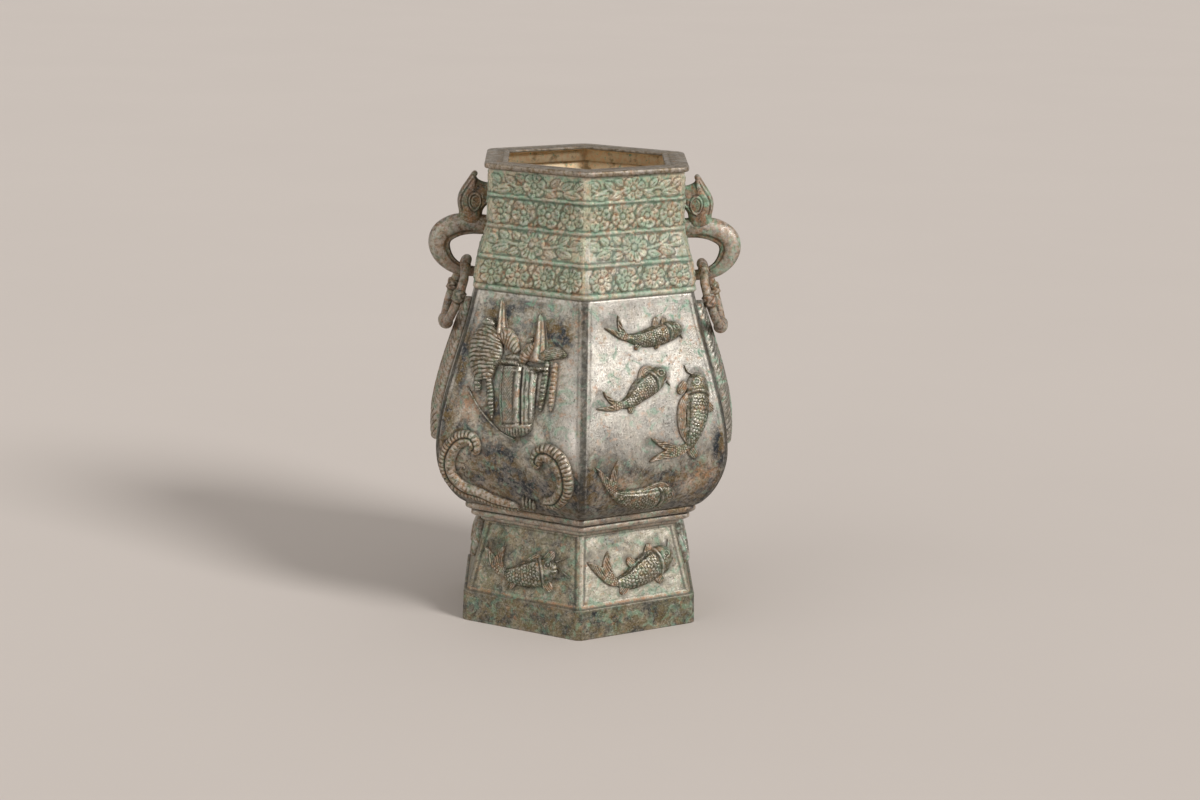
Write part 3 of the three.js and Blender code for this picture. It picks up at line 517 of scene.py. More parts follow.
def hex_shell(radii, heights, interior, facet=3.5, proud=None, soft=0.0):
    """Rows of six-sided rings, one for each corner radius and height.

    Each side runs from one corner to the next in shares of its length, crowded towards the narrow facet that
    cuts each corner. proud gives the height out of the side for every point, as a function of the distance
    along the side from its middle and of the height. soft bows the facet into a quadratic curve that the
    corner pulls outwards. facet and soft may differ from row to row.
    """
    radii, heights = np.asarray(radii, float)[:, None], np.asarray(heights, float)[:, None]
    facet, soft = (np.asarray(value, float)[..., None] + 0 * radii for value in (facet, soft))
    cut_share = facet / math.sqrt(3) / radii
    near = np.array([0.0, 0.35, 0.7, 0.9, 1.0, 1.1, 1.3, 1.7])[None, :] * cut_share
    first, last = near[:, -1:] * 1.25, 1 - near[:, -1:] * 1.25
    middle = first + (last - first) * np.linspace(0, 1, interior)[None, :]
    shares = np.hstack([near, middle, 1 - near[:, :0:-1]])
    along = (shares - 0.5) * radii
    lift = proud(along, heights + 0 * along) if proud else 0 * along
    outer = (radii + lift / FLAT)[..., None]
    share, chop, bow = shares[..., None], cut_share[..., None], soft[..., None]
    level = np.broadcast_to(heights[..., None], outer.shape)
    rings = []
    for side in range(SIDES):
        before, start, end, after = (corner_direction(side + step) for step in (-1, 0, 1, 2))
        point = start * (1 - share) + end * share
        for corner, inner, other, place in ((start, end, before, share), (end, start, after, 1 - share)):
            edge, far_edge = corner * (1 - chop) + inner * chop, corner * (1 - chop) + other * chop
            t = (1 - np.clip(place / chop, 0, 1)) / 2
            straight = edge * (1 - t) + far_edge * t
            bowed = edge * (1 - t) ** 2 + corner * 2 * t * (1 - t) + far_edge * t ** 2
            point = np.where(place < chop, straight + (bowed - straight) * bow, point)
        rings.append(np.concatenate([point * outer, level], axis=-1))
    return np.concatenate(rings, axis=1), along, lift


def casting(outer, inner, interior, proud, values):
    """A closed six-sided casting: outside rows from the bottom up, then inside rows from the top down.

    proud gives the pattern that stands out of the sides. values gives the named values of the outside for each
    side, from the distance along it, the height and the pattern's height there.
    """
    outer, inner = np.array(outer, float), np.array(inner, float)
    skin, along, lift = hex_shell(outer[:, 0], outer[:, 1], interior, proud=proud)
    grid = np.concatenate([skin, hex_shell(inner[:, 0], inner[:, 1], interior)[0]])
    rows, columns = grid.shape[:2]
    named = {}
    for side in range(SIDES):
        for name, value in values(side, along, outer[:, 1:2] + 0 * along, lift).items():
            named.setdefault(name, []).append(np.broadcast_to(value, along.shape))
    lining = np.zeros((len(inner), columns))
    flat = {name: np.vstack([np.hstack(parts), lining]).ravel() for name, parts in named.items()}
    flat["inside"] = np.vstack([np.zeros((len(outer), columns)), lining + 1]).ravel()
    return closed_form(grid.reshape(-1, 3), grid_quads(rows, columns, ring=True, loop=True), **flat)


def corner_gap(s, radius):
    """How far a point on a side is from the nearer corner, in millimetres."""
    return radius / 2 - np.abs(s)


def kind_of(side):
    """Which of the three kinds of side this is: front and back repeat each other by a half turn."""
    return tuple(KINDS)[side % len(KINDS)]


# Chased pattern of the neck: every crown below is a height out of the wall, in millimetres

def flower(s, z, place, radius, petals, crown, turn=0.0):
    """An open flower: scalloped petals, domed, cupped and creased along their middle, round a button."""
    x, y = s - place[0], z - place[1]
    r = np.hypot(x, y)
    half = math.pi / petals
    angle = (np.arctan2(y, x) + turn) % (2 * half) - half
    across = np.abs(angle) / half
    tip = radius * (0.68 + 0.32 * np.sqrt(1 - across ** 2))
    petal = ease(0, 0.09 * radius, tip - r) * (1 - 0.9 * across ** 4)
    petal *= 0.5 + 0.5 * ease(0.2 * radius, 0.8 * radius, r) - 0.4 * ridge(r - 0.6 * radius, 0.16 * radius)
    fold = ridge(r * np.sin(angle), 0.35) * ease(0.3 * radius, 0.45 * radius, r)
    fold = fold * (1 - ease(0.7 * radius, radius, r))
    button = half_round(r / (0.2 * radius))
    petal *= 1 - 0.8 * ridge(r - 0.27 * radius, 0.07 * radius)
    return crown * np.maximum(petal * (1 - 0.5 * fold), 0.9 * button)


def leaf(s, z, root, tip, width, crown):
    """A leaf from root to tip: domed across, pinched at both ends, with a sunk midrib."""
    run, climb = tip[0] - root[0], tip[1] - root[1]
    length = math.hypot(run, climb)
    along = ((s - root[0]) * run + (z - root[1]) * climb) / length ** 2
    aside = ((z - root[1]) * run - (s - root[0]) * climb) / length
    half = width / 2 * np.sin(math.pi * np.clip(along, 0, 1) ** 0.8)
    dome = half_round(aside / np.maximum(half, 1e-3))
    return crown * dome * ease(0, 0.12, along) * (1 - ease(0.9, 1, along)) * (1 - 0.55 * ridge(aside, 0.38))


def stem(s, z, points, width, crown):
    """A round stem along a curve through the points."""
    line = smooth_path(points, 36)[0]
    gap = np.min(np.hypot(s[..., None] - line[:, 0], z[..., None] - line[:, 1]), axis=-1)
    return crown * half_round(2 * gap / width)


# Levels of the neck's ridges and of the bead at its foot
NECK_RIDGES = (225.0, 243.2, 261.2)
NECK_BEAD = 207.0

STEM_WIDTH = 1.5
STEM_CROWN, LEAF_CROWN, FLOWER_CROWN = 0.8, 1.0, 1.45

# Flowers as (place, radius, petals, turn); leaves as (root, tip, width); stems as their points
NECK_FLOWERS = (
    [((-2, 268.8), 7.6, 6, 0.3), ((-2, 234.2), 9.0, 8, 0.2)]
    + [((s, 252.3 + lift), 8.2, 5, turn) for s, lift, turn in
       ((-25.2, -0.3, 0.2), (-9.0, 0.3, 0.9), (7.6, -0.2, 0.5), (23.8, 0.2, 1.1))]
    + [((s, 216.2), 7.9, petals, turn) for s, petals, turn in
       ((-26.8, 7, 0.2), (-8.8, 6, 0.6), (9.2, 7, 0.1), (27.2, 8, 0.5))]
)
NECK_LEAVES = (
    ((5, 266), (13, 263.6), 4.2), ((9, 269), (15, 274), 4.0), ((16, 268), (24, 272.6), 4.6),
    ((17, 266), (30, 264.4), 6.0), ((25, 268.5), (31.5, 273.5), 4.4), ((-9, 271), (-15, 274.5), 4.0),
    ((-9, 266.5), (-17, 263.4), 4.4), ((-15, 268.5), (-22, 273.5), 4.6), ((-18, 266), (-31, 264.6), 6.0),
    ((-25, 269.5), (-31.5, 273.8), 4.4),
    ((-18.8, 255.5), (-16.2, 260.2), 2.3), ((-15.6, 249), (-18.2, 244.7), 2.3),
    ((-2.2, 255.5), (0.4, 260), 2.2), ((0.6, 249), (-1.8, 244.8), 2.2), ((14.2, 255.6), (16.8, 260), 2.2),
    ((16.8, 249), (14.4, 244.8), 2.3), ((31, 255.5), (32.3, 259), 2.8), ((-32, 250), (-32.5, 246), 2.8),
    ((7, 231), (16, 228.6), 4.6), ((9, 236), (14, 241), 4.6), ((15, 233), (26, 229.4), 6.2),
    ((16, 236), (23, 240.8), 5.0), ((23, 235), (33, 237.6), 5.4), ((-10, 230.6), (-18, 228.4), 4.6),
    ((-11, 236.5), (-16, 241), 4.6), ((-17, 233), (-29, 229.6), 6.2), ((-19, 236.5), (-25, 240.8), 5.0),
    ((-25, 235), (-34, 238), 5.4),
    ((-19, 219), (-16.4, 224), 2.3), ((-16.4, 213), (-18.8, 209.3), 2.3), ((-1.2, 219), (1.4, 223.8), 2.3),
    ((1.6, 213), (-0.8, 209.4), 2.3), ((16.8, 219), (19.4, 223.8), 2.3), ((19.4, 213), (17, 209.4), 2.3),
)
NECK_STEMS = (
    [(4, 267.5), (9, 267), (15, 268.6), (21, 267), (28, 269)],
    [(-8, 268), (-13, 267), (-19, 268.8), (-25, 267), (-30, 269)],
    [(6, 233), (11, 233.6), (17, 234.8), (24, 233.6), (31, 234.5)],
    [(-10, 233.4), (-15, 233.8), (-21, 235), (-27, 233.6), (-33, 234.6)],
)


def neck_pattern(s, z):
    """The bead, the three ridges, and the flowers, leaves and stems of the four bands, the highest on top."""
    flat = 1 - ease(30.5, 33.5, np.abs(s) * 70 / NECK_WALL.radius(z))
    height = np.zeros_like(s)
    for points in NECK_STEMS:
        height = np.maximum(height, stem(s, z, points, STEM_WIDTH, STEM_CROWN))
    for root, tip, width in NECK_LEAVES:
        height = np.maximum(height, leaf(s, z, root, tip, width, LEAF_CROWN))
    for place, radius, petals, turn in NECK_FLOWERS:
        height = np.maximum(height, flower(s, z, place, radius, petals, FLOWER_CROWN, turn))
    uneven = 0.12 * np.sin(s * 0.9 + 1.3 * np.sin(z * 0.7)) * np.sin(z * 1.1 + s * 0.3)
    height = height * flat + uneven
    for level in NECK_RIDGES:
        height = np.maximum(height, 1.05 * ridge(z - level, 0.85))
    bead = half_round((z - NECK_BEAD) / 1.5)
    return np.maximum(height, 1.3 * bead) - 0.5 * ridge(z - 209.2, 0.5)


def neck_values(side, s, z, lift):
    """Painted shadow under the ridges and the bead and painted shade round the flowers' edges, verdigris on
    both, and between them earth and silver, the right side's silver partly a painted sheen.
    """
    bright_side = kind_of(side) == "right"
    lines = sum(ridge(z - level, 1.6) for level in (*NECK_RIDGES, NECK_BEAD, 274.5))
    # Painted shadow just under each ridge and under the bead
    under = sum(ridge(z - level + 1.6, 0.6) for level in (*NECK_RIDGES, 206.6))
    raised = ease(0.3, 0.8, lift)
    tan = np.maximum(ridge(z - 270, 8), ridge(z - 252, 6)) if bright_side else ridge(z - 216, 9) + 0.5
    return {
        # Painted shade round the raised flowers' edges
        "grime": np.clip(0.5 * ridge(lift - 0.25, 0.13) * (np.abs(s) < 33) + under, 0, 1),
        "green": np.clip(0.4 * raised + lines, 0, 1),
        "silver": (0.8 * (1 - ease(236, 246, z)) if bright_side else 0.1) * (1 - raised),
        "tarnish": 0.15 * raised if bright_side else 0.3 * raised,
        "earthy": np.clip(0.7 * tan, 0, 1) * (1 - 0.7 * raised),
    }


neck_heights = np.linspace(SHOULDER, NECK_TOP, 119)
NECK_FORM = casting(
    np.stack([NECK_WALL.radius(neck_heights), neck_heights], axis=-1),
    [(63.3, NECK_TOP), (63.3, 262), (63.3, 246), (65.6, 237), (68.6, 228), (71.6, 211.8), (71.6, SHOULDER)],
    interior=102, proud=neck_pattern, values=neck_values,
)


# Reliefs: closed bars along a path on a panel

# How deep a relief's underside lies in the wall, in millimetres
ROOT_DEPTH = 1.5

# What share of a relief's ring stands out of the wall
UPPER_SHARE = 0.8


def relief(panel, path, width, crown, shape, rows, columns, fall=2.0, detail=None, cut=None, **tones):
    """A casting on a panel, as rings along a path.

    Across, a point lies at width/2 times shape(t) times the cosine of its turn. Out of the wall, the upper
    eight tenths of the ring rise as crown times the root of shape(t) times (1 - |u|^fall)^(1/fall), and the
    rest sinks into the wall. detail adds chasing from the distances along and across, u and t. cut gives the
    share that is kept at u and t; what isn't kept sinks under the wall. tones are even values for its finish.
    """
    line, length = smooth_path(path, rows)
    tangent = tangents(line)
    t = np.linspace(0, 1, rows)[:, None]
    top = int(columns * UPPER_SHARE) // 2 * 2
    under = np.linspace(math.pi, 2 * math.pi, columns - top + 2)[1:-1]
    turn = np.concatenate([np.linspace(0, math.pi, top), under])
    u = np.cos(turn)[None, :]
    over = (np.sin(turn) > -1e-9)[None, :]
    share = np.clip(shape(t), 0.02, None)
    half = width / 2 * share
    dome = np.clip(1 - np.abs(u) ** fall, 0, 1) ** (1 / fall)
    height = crown * np.sqrt(share) * dome
    if detail:
        height = height + detail(t * length, half * u, u + 0 * t, t + 0 * u) * ease(0.0, 0.5, dome)
    if cut:
        kept = cut(u + 0 * t, t + 0 * u)
        height = height * kept - 0.9 * ROOT_DEPTH * (1 - kept)
    height = np.where(over, height, ROOT_DEPTH * np.sin(turn)[None, :])
    if cut:
        aside = 0.55 * half * np.stack([-tangent[:, 1], tangent[:, 0]], axis=-1)
        for lobe in (line + aside, line - aside):
            panel.outlines.append(np.hstack([lobe + [0, panel.base], 0.4 * half])[:int(0.9 * rows)])
    else:
        panel.outlines.append(np.hstack([line + [0, panel.base], half]))
    s = line[:, :1] - tangent[:, 1:] * half * u
    z = line[:, 1:] + tangent[:, :1] * half * u
    grid = panel.place(s, z + panel.base, height)
    # The relief is darkened towards its foot by the wall, as painted shade
    return tube_form(grid, grime=0.6 * (1 - ease(0.2, 1.2, height)), **tones)


def rounded(t, start, end):
    """Rounds a bar's ends as quarter circles over these shares of its length."""
    a, b = np.clip(t / start, 0, 1), np.clip((1 - t) / end, 0, 1)
    return np.sqrt(1 - (1 - a) ** 2) * np.sqrt(1 - (1 - b) ** 2)


# Shapes: how wide a bar is at a share t of its length

def fish_shape(t):
    return (0.24 + 0.76 * np.sin(math.pi * (0.02 + 0.8 * t ** 1.1)) ** 0.9) * rounded(t, 0.03, 0.16) ** 0.8


def blade_shape(t):
    return (0.3 + 0.7 * np.sin(math.pi * (0.16 + 0.72 * t))) * rounded(t, 0.08, 0.25)


def tail_shape(t):
    return 0.2 + 0.8 * t ** 1.25


def forked(depth):
    """Keeps a tail up to an end that is notched this deep at its middle, as a share of its length."""
    def cut(u, t):
        return ease(-0.035, 0.035, 0.97 - depth * (1 - np.abs(u)) ** 0.8 - 0.1 * np.abs(u) ** 6 - t)
    return cut


def pod_shape(t):
    return (0.25 + 0.75 * np.sin(math.pi * (0.08 + 0.84 * t))) * rounded(t, 0.06, 0.06)


def creel_shape(t):
    return (0.36 + 0.64 * np.sin(math.pi * (0.02 + 0.7 * t ** 0.9))) * np.sqrt(np.clip(1 - t ** 4, 0, 1))


def drum_shape(t):
    return (1 - 0.3 * t ** 3) * rounded(t, 0.02, 0.12)


def tusk_shape(t):
    return (1 - 0.75 * t) * rounded(t, 0.05, 0.12)


def even_shape(t):
    return rounded(t, 0.06, 0.06)


def plume_shape(t):
    return (0.4 + 0.6 * np.sin(math.pi * (0.05 + 0.85 * t))) * rounded(t, 0.03, 0.03)


def serpent_shape(t):
    return (0.4 + 0.6 * np.sin(math.pi * (0.1 + 0.82 * t ** 0.8))) * rounded(t, 0.03, 0.04)


# Chasing: heights on a bar from the millimetres along and across it, and its shares u across and t along

def scales(along, across, pitch):
    """Rows of small domes, each row moved by half a dome against the next."""
    row = np.floor(along / pitch)
    x = along / pitch - row - 0.5
    y = (across / pitch + row % 2 / 2) % 1 - 0.5
    return np.sqrt(np.clip(1 - (x ** 2 + y ** 2) / 0.25, 0, 1))


def fish_chasing(width, length):
    """Scales on the body, a ridge along the back, a raised gill, a ringed eye and a mouth line."""
    def chasing(along, across, u, t):
        skin = ease(0.05, 0.12, t) * (1 - ease(0.68, 0.72, t)) * (1 - ease(0.8, 0.95, np.abs(u)))
        skin = skin * (1 - 0.7 * ease(0.55, 0.65, u))
        bend = 0.25 * np.sin(along * 0.9) + 0.25 * np.sin(across * 1.3 + along * 0.4)
        height = 0.4 * scales(along + bend, across + 0.15 * np.sin(along * 1.7), width / 8.5) * skin
        spine = (0.3 * ridge(u - 0.62, 0.08) - 0.2 * ridge(u - 0.76, 0.06)) * ease(0, 0.06, t)
        height = height + spine * (1 - ease(0.66, 0.72, t))
        gill = (t - 0.72 - 0.05 * (1 - u ** 2)) * length
        height = height + 0.6 * ridge(gill, 0.8) - 0.4 * ridge(gill + 1.6, 0.6)
        eye = np.hypot((t - 0.875) * length, across - width * 0.15)
        height = height + 0.7 * ridge(eye, 0.8) + 0.35 * ridge(eye - 1.8, 0.4) - 0.35 * ridge(eye - 1.2, 0.3)
        return height - 0.6 * ridge(across + width * 0.07, 0.35) * ease(0.95, 0.98, t)
    return chasing


def ray_chasing(along, across, u, t):
    """Fine rays along a fin, which is hollowed between its raised edges."""
    rays = 0.16 * np.cos(across * math.tau / 1.1 + 0.5 * np.sin(along)) * ease(0.05, 0.3, t)
    return rays - 0.7 * (1 - np.abs(u) ** 1.5) * ease(0.15, 0.5, t) + 0.35 * ridge(np.abs(u) - 0.85, 0.1)


def tail_chasing(along, across, u, t):
    """Small scales near a tail's root, then rays, with each lobe hollowed beside its raised outer edge."""
    root = 1 - ease(0.35, 0.55, t)
    skin = 0.35 * scales(along, across, 1.5) * root * ease(0.02, 0.1, t)
    rays = 0.22 * np.cos(across * math.tau / 1.3) * (1 - root)
    hollows = 0.9 * ridge(np.abs(u) - 0.45, 0.25) * ease(0.3, 0.6, t)
    return skin + rays - hollows + 0.4 * ridge(np.abs(u) - 0.88, 0.08)


def fish(panel, plan):
    """A fish: a scaled body with its forked tail, and the fins and barbels of its plan."""
    width, crown = plan["width"], plan["crown"]
    chasing = fish_chasing(width, smooth_path(plan["spine"], 20)[1])
    return joined([
        relief(panel, plan["spine"], width, crown, fish_shape, 108, 56, detail=chasing),
        relief(panel, plan["tail"], plan["spread"], crown * 0.62, tail_shape, 84, 56, 4.0, tail_chasing,
               cut=forked(plan["notch"]), earthy=0.5),
        *[relief(panel, path, width * 0.34, crown * 0.5, blade_shape, 34, 28, 2.4, ray_chasing, earthy=0.6)
          for path in plan["fins"]],
        *[relief(panel, path, 1.5, 1.9, tusk_shape, 20, 14) for path in plan.get("barbels", ())],
    ])


CARP_ASCENDING = {
    "spine": [(-13, 121.5), (-3, 120), (7, 121), (17, 123), (26, 124)], "width": 12.5, "crown": 4.4,
    "tail": [(-9, 120.5), (-15, 123), (-19.5, 128), (-23.5, 134)], "spread": 14, "notch": 0.5,
    "fins": [[(11, 121), (6, 113.5)], [(-2, 119.5), (-8, 114.5)], [(7, 124), (9, 132)],
             [(13, 126), (15, 131)]],
    "barbels": [[(24, 121), (26, 118)]],
}
CARP_TURNING = {
    "spine": [(-22, 84), (-15, 86), (-8, 91), (0, 95), (7, 98), (11, 97)], "width": 14, "crown": 4.4,
    "tail": [(-17, 85), (-25, 84), (-32, 86), (-39, 90)], "spread": 13, "notch": 0.5,
    "fins": [[(-13, 86), (-17, 79)], [(-8, 93), (-4, 102), (5, 102)]],
    "barbels": [[(11, 95), (13, 92)]],
}
CARP_LEAPING = {
    "spine": [(22, 54), (25, 62), (29, 73), (31, 85), (33, 98)], "width": 17, "crown": 5.2,
    "tail": [(23.5, 57), (15, 54), (4, 55.5), (-9, 57)], "spread": 17, "notch": 0.42,
    "fins": [[(33, 82), (41, 75)], [(28, 88), (21, 82), (18.5, 75), (18.5, 66), (22, 57)],
             [(22, 56), (28, 48.5)], [(24, 93), (18, 87)]],
    "barbels": [[(30, 97), (26, 99), (24.6, 103)]],
}
CARP_DIVING = {
    "spine": [(-28, 32), (-18, 28), (-7, 26), (4, 26), (17, 25.5)], "width": 15, "crown": 4.2,
    "tail": [(-25, 30), (-30, 37), (-33, 45), (-35, 55)], "spread": 18, "notch": 0.46,
    "fins": [[(-8, 31), (3, 33.5), (12, 31)], [(6, 22), (12, 18)]],
}
FOOT_CARP = {
    "spine": [(-12, 12.5), (-2, 13.5), (6, 17), (16, 21), (25, 23), (29, 22.5)], "width": 18.5, "crown": 4.8,
    "tail": [(-8, 12), (-16, 15), (-21, 23), (-24.5, 33)], "spread": 19, "notch": 0.34,
    "fins": [[(11, 22), (13, 33)], [(15, 17), (20, 8.5)], [(-4, 12.5), (-10, 5.5)], [(2, 20), (-3, 26)]],
    "barbels": [[(26, 27), (27, 34)]],
}
FOOT_CATFISH = {
    "spine": [(-16, 13.5), (-7, 13.5), (3, 16), (12, 19), (21, 22)], "width": 17.5, "crown": 4.8,
    "tail": [(-11, 13), (-19, 16), (-22.5, 23), (-24.5, 32)], "spread": 17, "notch": 0.36,
    "fins": [[(11, 22), (17, 31)], [(-7, 12), (-11, 5)], [(11, 16), (19, 7.5)], [(0, 21), (8, 27)]],
    "barbels": [[(19, 23), (30, 17.5)], [(19, 25), (27, 29)]],
}


def tusk_chasing(along, across, u, t):
    """A slope to the right of a tusk's ridge, which stands near its left edge."""
    return -1.5 * ease(-0.15, 0.3, -u)


def rib_chasing(pitch, height, bow=0.0, lean=0.0):
    """Rounded ribs across a bar, bowed and leaning with the distance from its middle line."""
    def chasing(along, across, u, t):
        phase = (along + bow * u ** 2 + lean * across + 0.2 * np.sin(across * 0.8 + along * 0.5)) / pitch
        uneven = 0.85 + 0.15 * np.sin(across * 1.1 + along * 2.3)
        return height * (np.abs(np.cos(math.pi * phase)) - 0.6) * uneven
    return chasing


def drum_chasing(along, across, u, t):
    """A woven left half, a fold right of the middle, upright staves, two bands and a hatched bottom."""
    left = 1 - ease(-0.15, 0.05, u)
    body = 1 - ease(0.8, 0.86, t)
    weave = 0.22 * np.cos(along * math.tau / 1.9 + 0.4 * np.sin(across)) * np.cos(across * math.tau / 1.7)
    stave = 0.25 * np.cos(across * math.tau / 2.6 + 0.3 * np.sin(along * 0.5)) * (1 - left)
    fold = 1.1 * ridge(across - 1.6, 1.0) - 1.0 * ridge(across - 4.0, 0.9) - 0.6 * ridge(u + 0.78, 0.06)
    bands = 0.6 * ridge(t - 0.84, 0.025) - 0.5 * ridge(t - 0.81, 0.0175) + 0.5 * ridge(t - 0.07, 0.0225)
    hatch = 0.35 * np.cos(across * math.tau / 1.9 + 0.6 * np.sin(along)) * ease(0.86, 0.9, t)
    return (weave * left + stave + fold) * body + bands + hatch


def serpent_chasing(comb_side):
    """Comb strokes on the outer half, a smooth ridge on the inner half and a groove between them."""
    def chasing(along, across, u, t):
        outer = ease(0.0, 0.25, u * comb_side)
        strokes = 0.9 * (np.abs(np.cos(math.pi * along / 2.1)) - 0.55) * outer
        beads = 0.3 * np.cos(math.pi * along / 1.6) * ridge(u + 0.55 * comb_side, 0.2)
        return strokes + beads - ridge(across, 0.7) + 0.5 * ridge(u + 0.5 * comb_side, 0.3)
    return chasing


def plume_chasing(along, across, u, t):
    """A midrib with strokes that slant down and away from it, and a twisted cord near the bottom."""
    strokes = 0.5 * (np.abs(np.cos(math.pi * (along - 0.9 * np.abs(across)) / 3.2)) - 0.5)
    cord = 0.8 * (np.abs(np.cos(math.pi * (along + 1.1 * across) / 4.2)) - 0.5)
    low = ease(0.76, 0.82, t)
    rib = 0.9 * ridge(across, 0.9) - 0.5 * ridge(np.abs(across) - 2.0, 0.6)
    return strokes * (1 - low) * ease(0.08, 0.2, np.abs(u)) + rib * (1 - low) + cord * low


def creel(panel):
    """The ribbed creel with its two knobs, the tusk, the striped hump, the straps, the line and the knot."""
    return joined([
        relief(panel, [(-21.5, 93), (-23.5, 103), (-23.5, 115), (-21.5, 124.5)], 25, 5.8, creel_shape, 100, 44,
               2.2, rib_chasing(2.35, 0.75, 1.6), earthy=0.2),
        relief(panel, [(-28, 125), (-23.5, 126), (-19, 124.5)], 5, 5.2, pod_shape, 30, 24, 2.2),
        relief(panel, [(-25.5, 127), (-21.5, 127)], 3, 6.4, pod_shape, 20, 20),
        relief(panel, [(-15, 119), (-16.5, 130), (-17.5, 140)], 9, 4.6, tusk_shape, 44, 36, 1.3, tusk_chasing,
               silver=0.15, earthy=0.5),
        relief(panel, [(-20, 117), (-11, 119), (-2, 110)], 10, 3.8, pod_shape, 56, 34, 2.0,
               rib_chasing(2.4, 0.6, lean=0.5), earthy=0.6),
        relief(panel, [(-21, 99), (-17, 88), (-12.5, 71)], 4.6, 2.4, blade_shape, 60, 24, 2.2,
               rib_chasing(2.2, 0.9)),
        relief(panel, [(-27, 95), (-25, 86)], 4.4, 2.6, even_shape, 36, 22, 2.2, rib_chasing(2.4, 1.0)),
        relief(panel, [(-33, 88), (-22, 76), (-7, 65), (5, 61)], 1.2, 1.2, even_shape, 50, 12),
        relief(panel, [(-10, 107), (-2, 108), (3, 106.5)], 5.0, 2.2, pod_shape, 30, 22),
    ])


def drum(panel):
    """The drum under its rope bar, the two sticks, the leaf, the tusk, the striped hump and the knot."""
    stick = rib_chasing(2.4, 0.7)
    return joined([
        relief(panel, [(-15, 103.5), (-3, 104.5), (8, 102.5), (18, 103)], 3.4, 5.0, even_shape, 90, 22, 2.0,
               rib_chasing(1.9, 0.8, lean=0.8)),
        relief(panel, [(1, 103), (2, 90), (4, 76), (5.5, 63)], 25, 5.4, drum_shape, 110, 64, 2.4,
               drum_chasing, green=0.45, silver=0.25),
        relief(panel, [(19, 108), (19, 92), (19, 79)], 4.6, 3.0, blade_shape, 60, 24, 2.2, stick),
        relief(panel, [(24.5, 108), (25, 95), (26, 80)], 4.2, 3.0, blade_shape, 60, 24, 2.2, stick,
               earthy=0.6),
        relief(panel, [(13, 109), (22, 113), (31, 112.5)], 7.5, 3.6, blade_shape, 44, 30, 2.0, ray_chasing),
        relief(panel, [(12.5, 106), (11.5, 120), (9.5, 134)], 14, 5.0, tusk_shape, 50, 40, 1.3, tusk_chasing,
               silver=0.15, earthy=0.5, green=0.3),
        relief(panel, [(1, 104), (5, 112), (11, 117)], 8, 3.8, pod_shape, 36, 28, 2.0, rib_chasing(2.2, 0.5),
               earthy=0.6),
        relief(panel, [(3, 117), (7.5, 119.5)], 4, 3.6, pod_shape, 20, 18),
    ])


SERPENT_LEFT = [(-25.5, 50), (-22.5, 53), (-25, 57.5), (-31, 57.5), (-37, 53.5), (-42, 45), (-42.5, 36),
                (-39, 29), (-32, 24.5), (-23, 23), (-15, 20), (-6, 18.5), (2, 18)]
SERPENT_RIGHT = [(22.5, 47.5), (19.5, 50.5), (22, 55), (28, 56), (35, 52), (38.5, 44), (37.5, 35), (30, 26.5),
                 (21, 24.5)]


def serpent_left(panel):
    """The left serpent, coiled at its head, with the small comb that ends its tail."""
    body = relief(panel, SERPENT_LEFT, 11, 4.2, serpent_shape, 190, 34, 2.2, serpent_chasing(-1), earthy=0.5)
    return joined([body, *[
        relief(panel, [(5 + 2.2 * k, 17), (7.6 + 2.2 * k, 27 - 0.8 * k)], 2.4, 2.2, blade_shape, 26, 16)
        for k in range(4)
    ]])


def serpent_right(panel):
    """The right serpent, coiled at its head."""
    return relief(panel, SERPENT_RIGHT, 12, 4.2, serpent_shape, 140, 34, 2.2, serpent_chasing(1), earthy=0.35)


def side_plume(panel):
    """The long plume on a side panel, from 12 mm below the shoulder to just below the widest level."""
    heights = np.linspace(SHOULDER - FOOT_TOP - 12, WIDEST - FOOT_TOP - 6, 6)
    path = [(0, height) for height in heights]
    return relief(panel, path, 26, 6.6, plume_shape, 190, 44, 2.1, plume_chasing)


def foot_leaf(panel):
    """The curled leaf on a side panel of the foot: a thick rolled edge round a hollow, and its tip."""
    return joined([
        relief(panel, [(-19, 13), (-15, 23), (-6, 31), (6, 34), (15, 30), (18, 21), (13, 14)], 9, 6.4,
               pod_shape, 110, 34, 2.0, ray_chasing),
        relief(panel, [(-15, 12), (-7, 20), (3, 25), (10, 22)], 6.5, 3.6, blade_shape, 60, 30, 2.0,
               ray_chasing),
        relief(panel, [(-17, 14), (-22, 23), (-20, 33)], 6, 4.4, blade_shape, 36, 24, 2.0, ray_chasing),
    ])


# Handles: a beast's head on the neck, whose trunk scrolls down and back to the wall

def wall_face(up):
    """How far the neck's flat side stands from the axis at a height above the shoulder."""
    return float(NECK_WALL.radius(SHOULDER + up)) * FLAT


THROAT = wall_face(39)

# The trunk's middle line as (out from the wall, up from the shoulder, half its thickness)
TRUNK = [(-1.3, 32.7, 5.9), (10.8, 33.3, 6.5), (19.5, 31.8, 7.1), (25.4, 27.4, 7.1), (26, 21.2, 6.7),
         (22.5, 14.4, 5.9), (17, 8.8, 4.6), (10.7, 5.3, 3.7), (6.2, 4.4, 3.4), (-1.6, 3.7, 3.0)]
TRUNK_SIDE_RATIO = 0.8

# The head's outline as (out from the wall, up from the shoulder)
HEAD = [(-2.4, 52), (-2.4, 47), (1.4, 45.2), (4.2, 41.6), (5.2, 35), (8, 29.5), (15.5, 29.5), (19.0, 35),
        (18.8, 40.6), (19.7, 46), (19.4, 50.5), (17.4, 55.2), (13.9, 60.4), (11.2, 64.6), (9.9, 65.5),
        (8.5, 64.6), (8.2, 61.9), (6.6, 60.3), (3.4, 59), (-2.4, 57.8)]
HEAD_CENTRE = (10.4, 46.5)
HEAD_HALF = 5.9
EAR = (8.9, 47.6)
JAW = [(0.0, 51.5), (2.4, 47.2), (5.6, 43.6), (9.4, 41.6)]


def evened(values, passes):
    """Values along a line, each moved to the mean of its neighbours this many times, with the ends kept."""
    for _ in range(passes):
        values = np.concatenate([values[:1], (values[:-2] + values[1:-1] + values[2:]) / 3, values[-1:]])
    return values


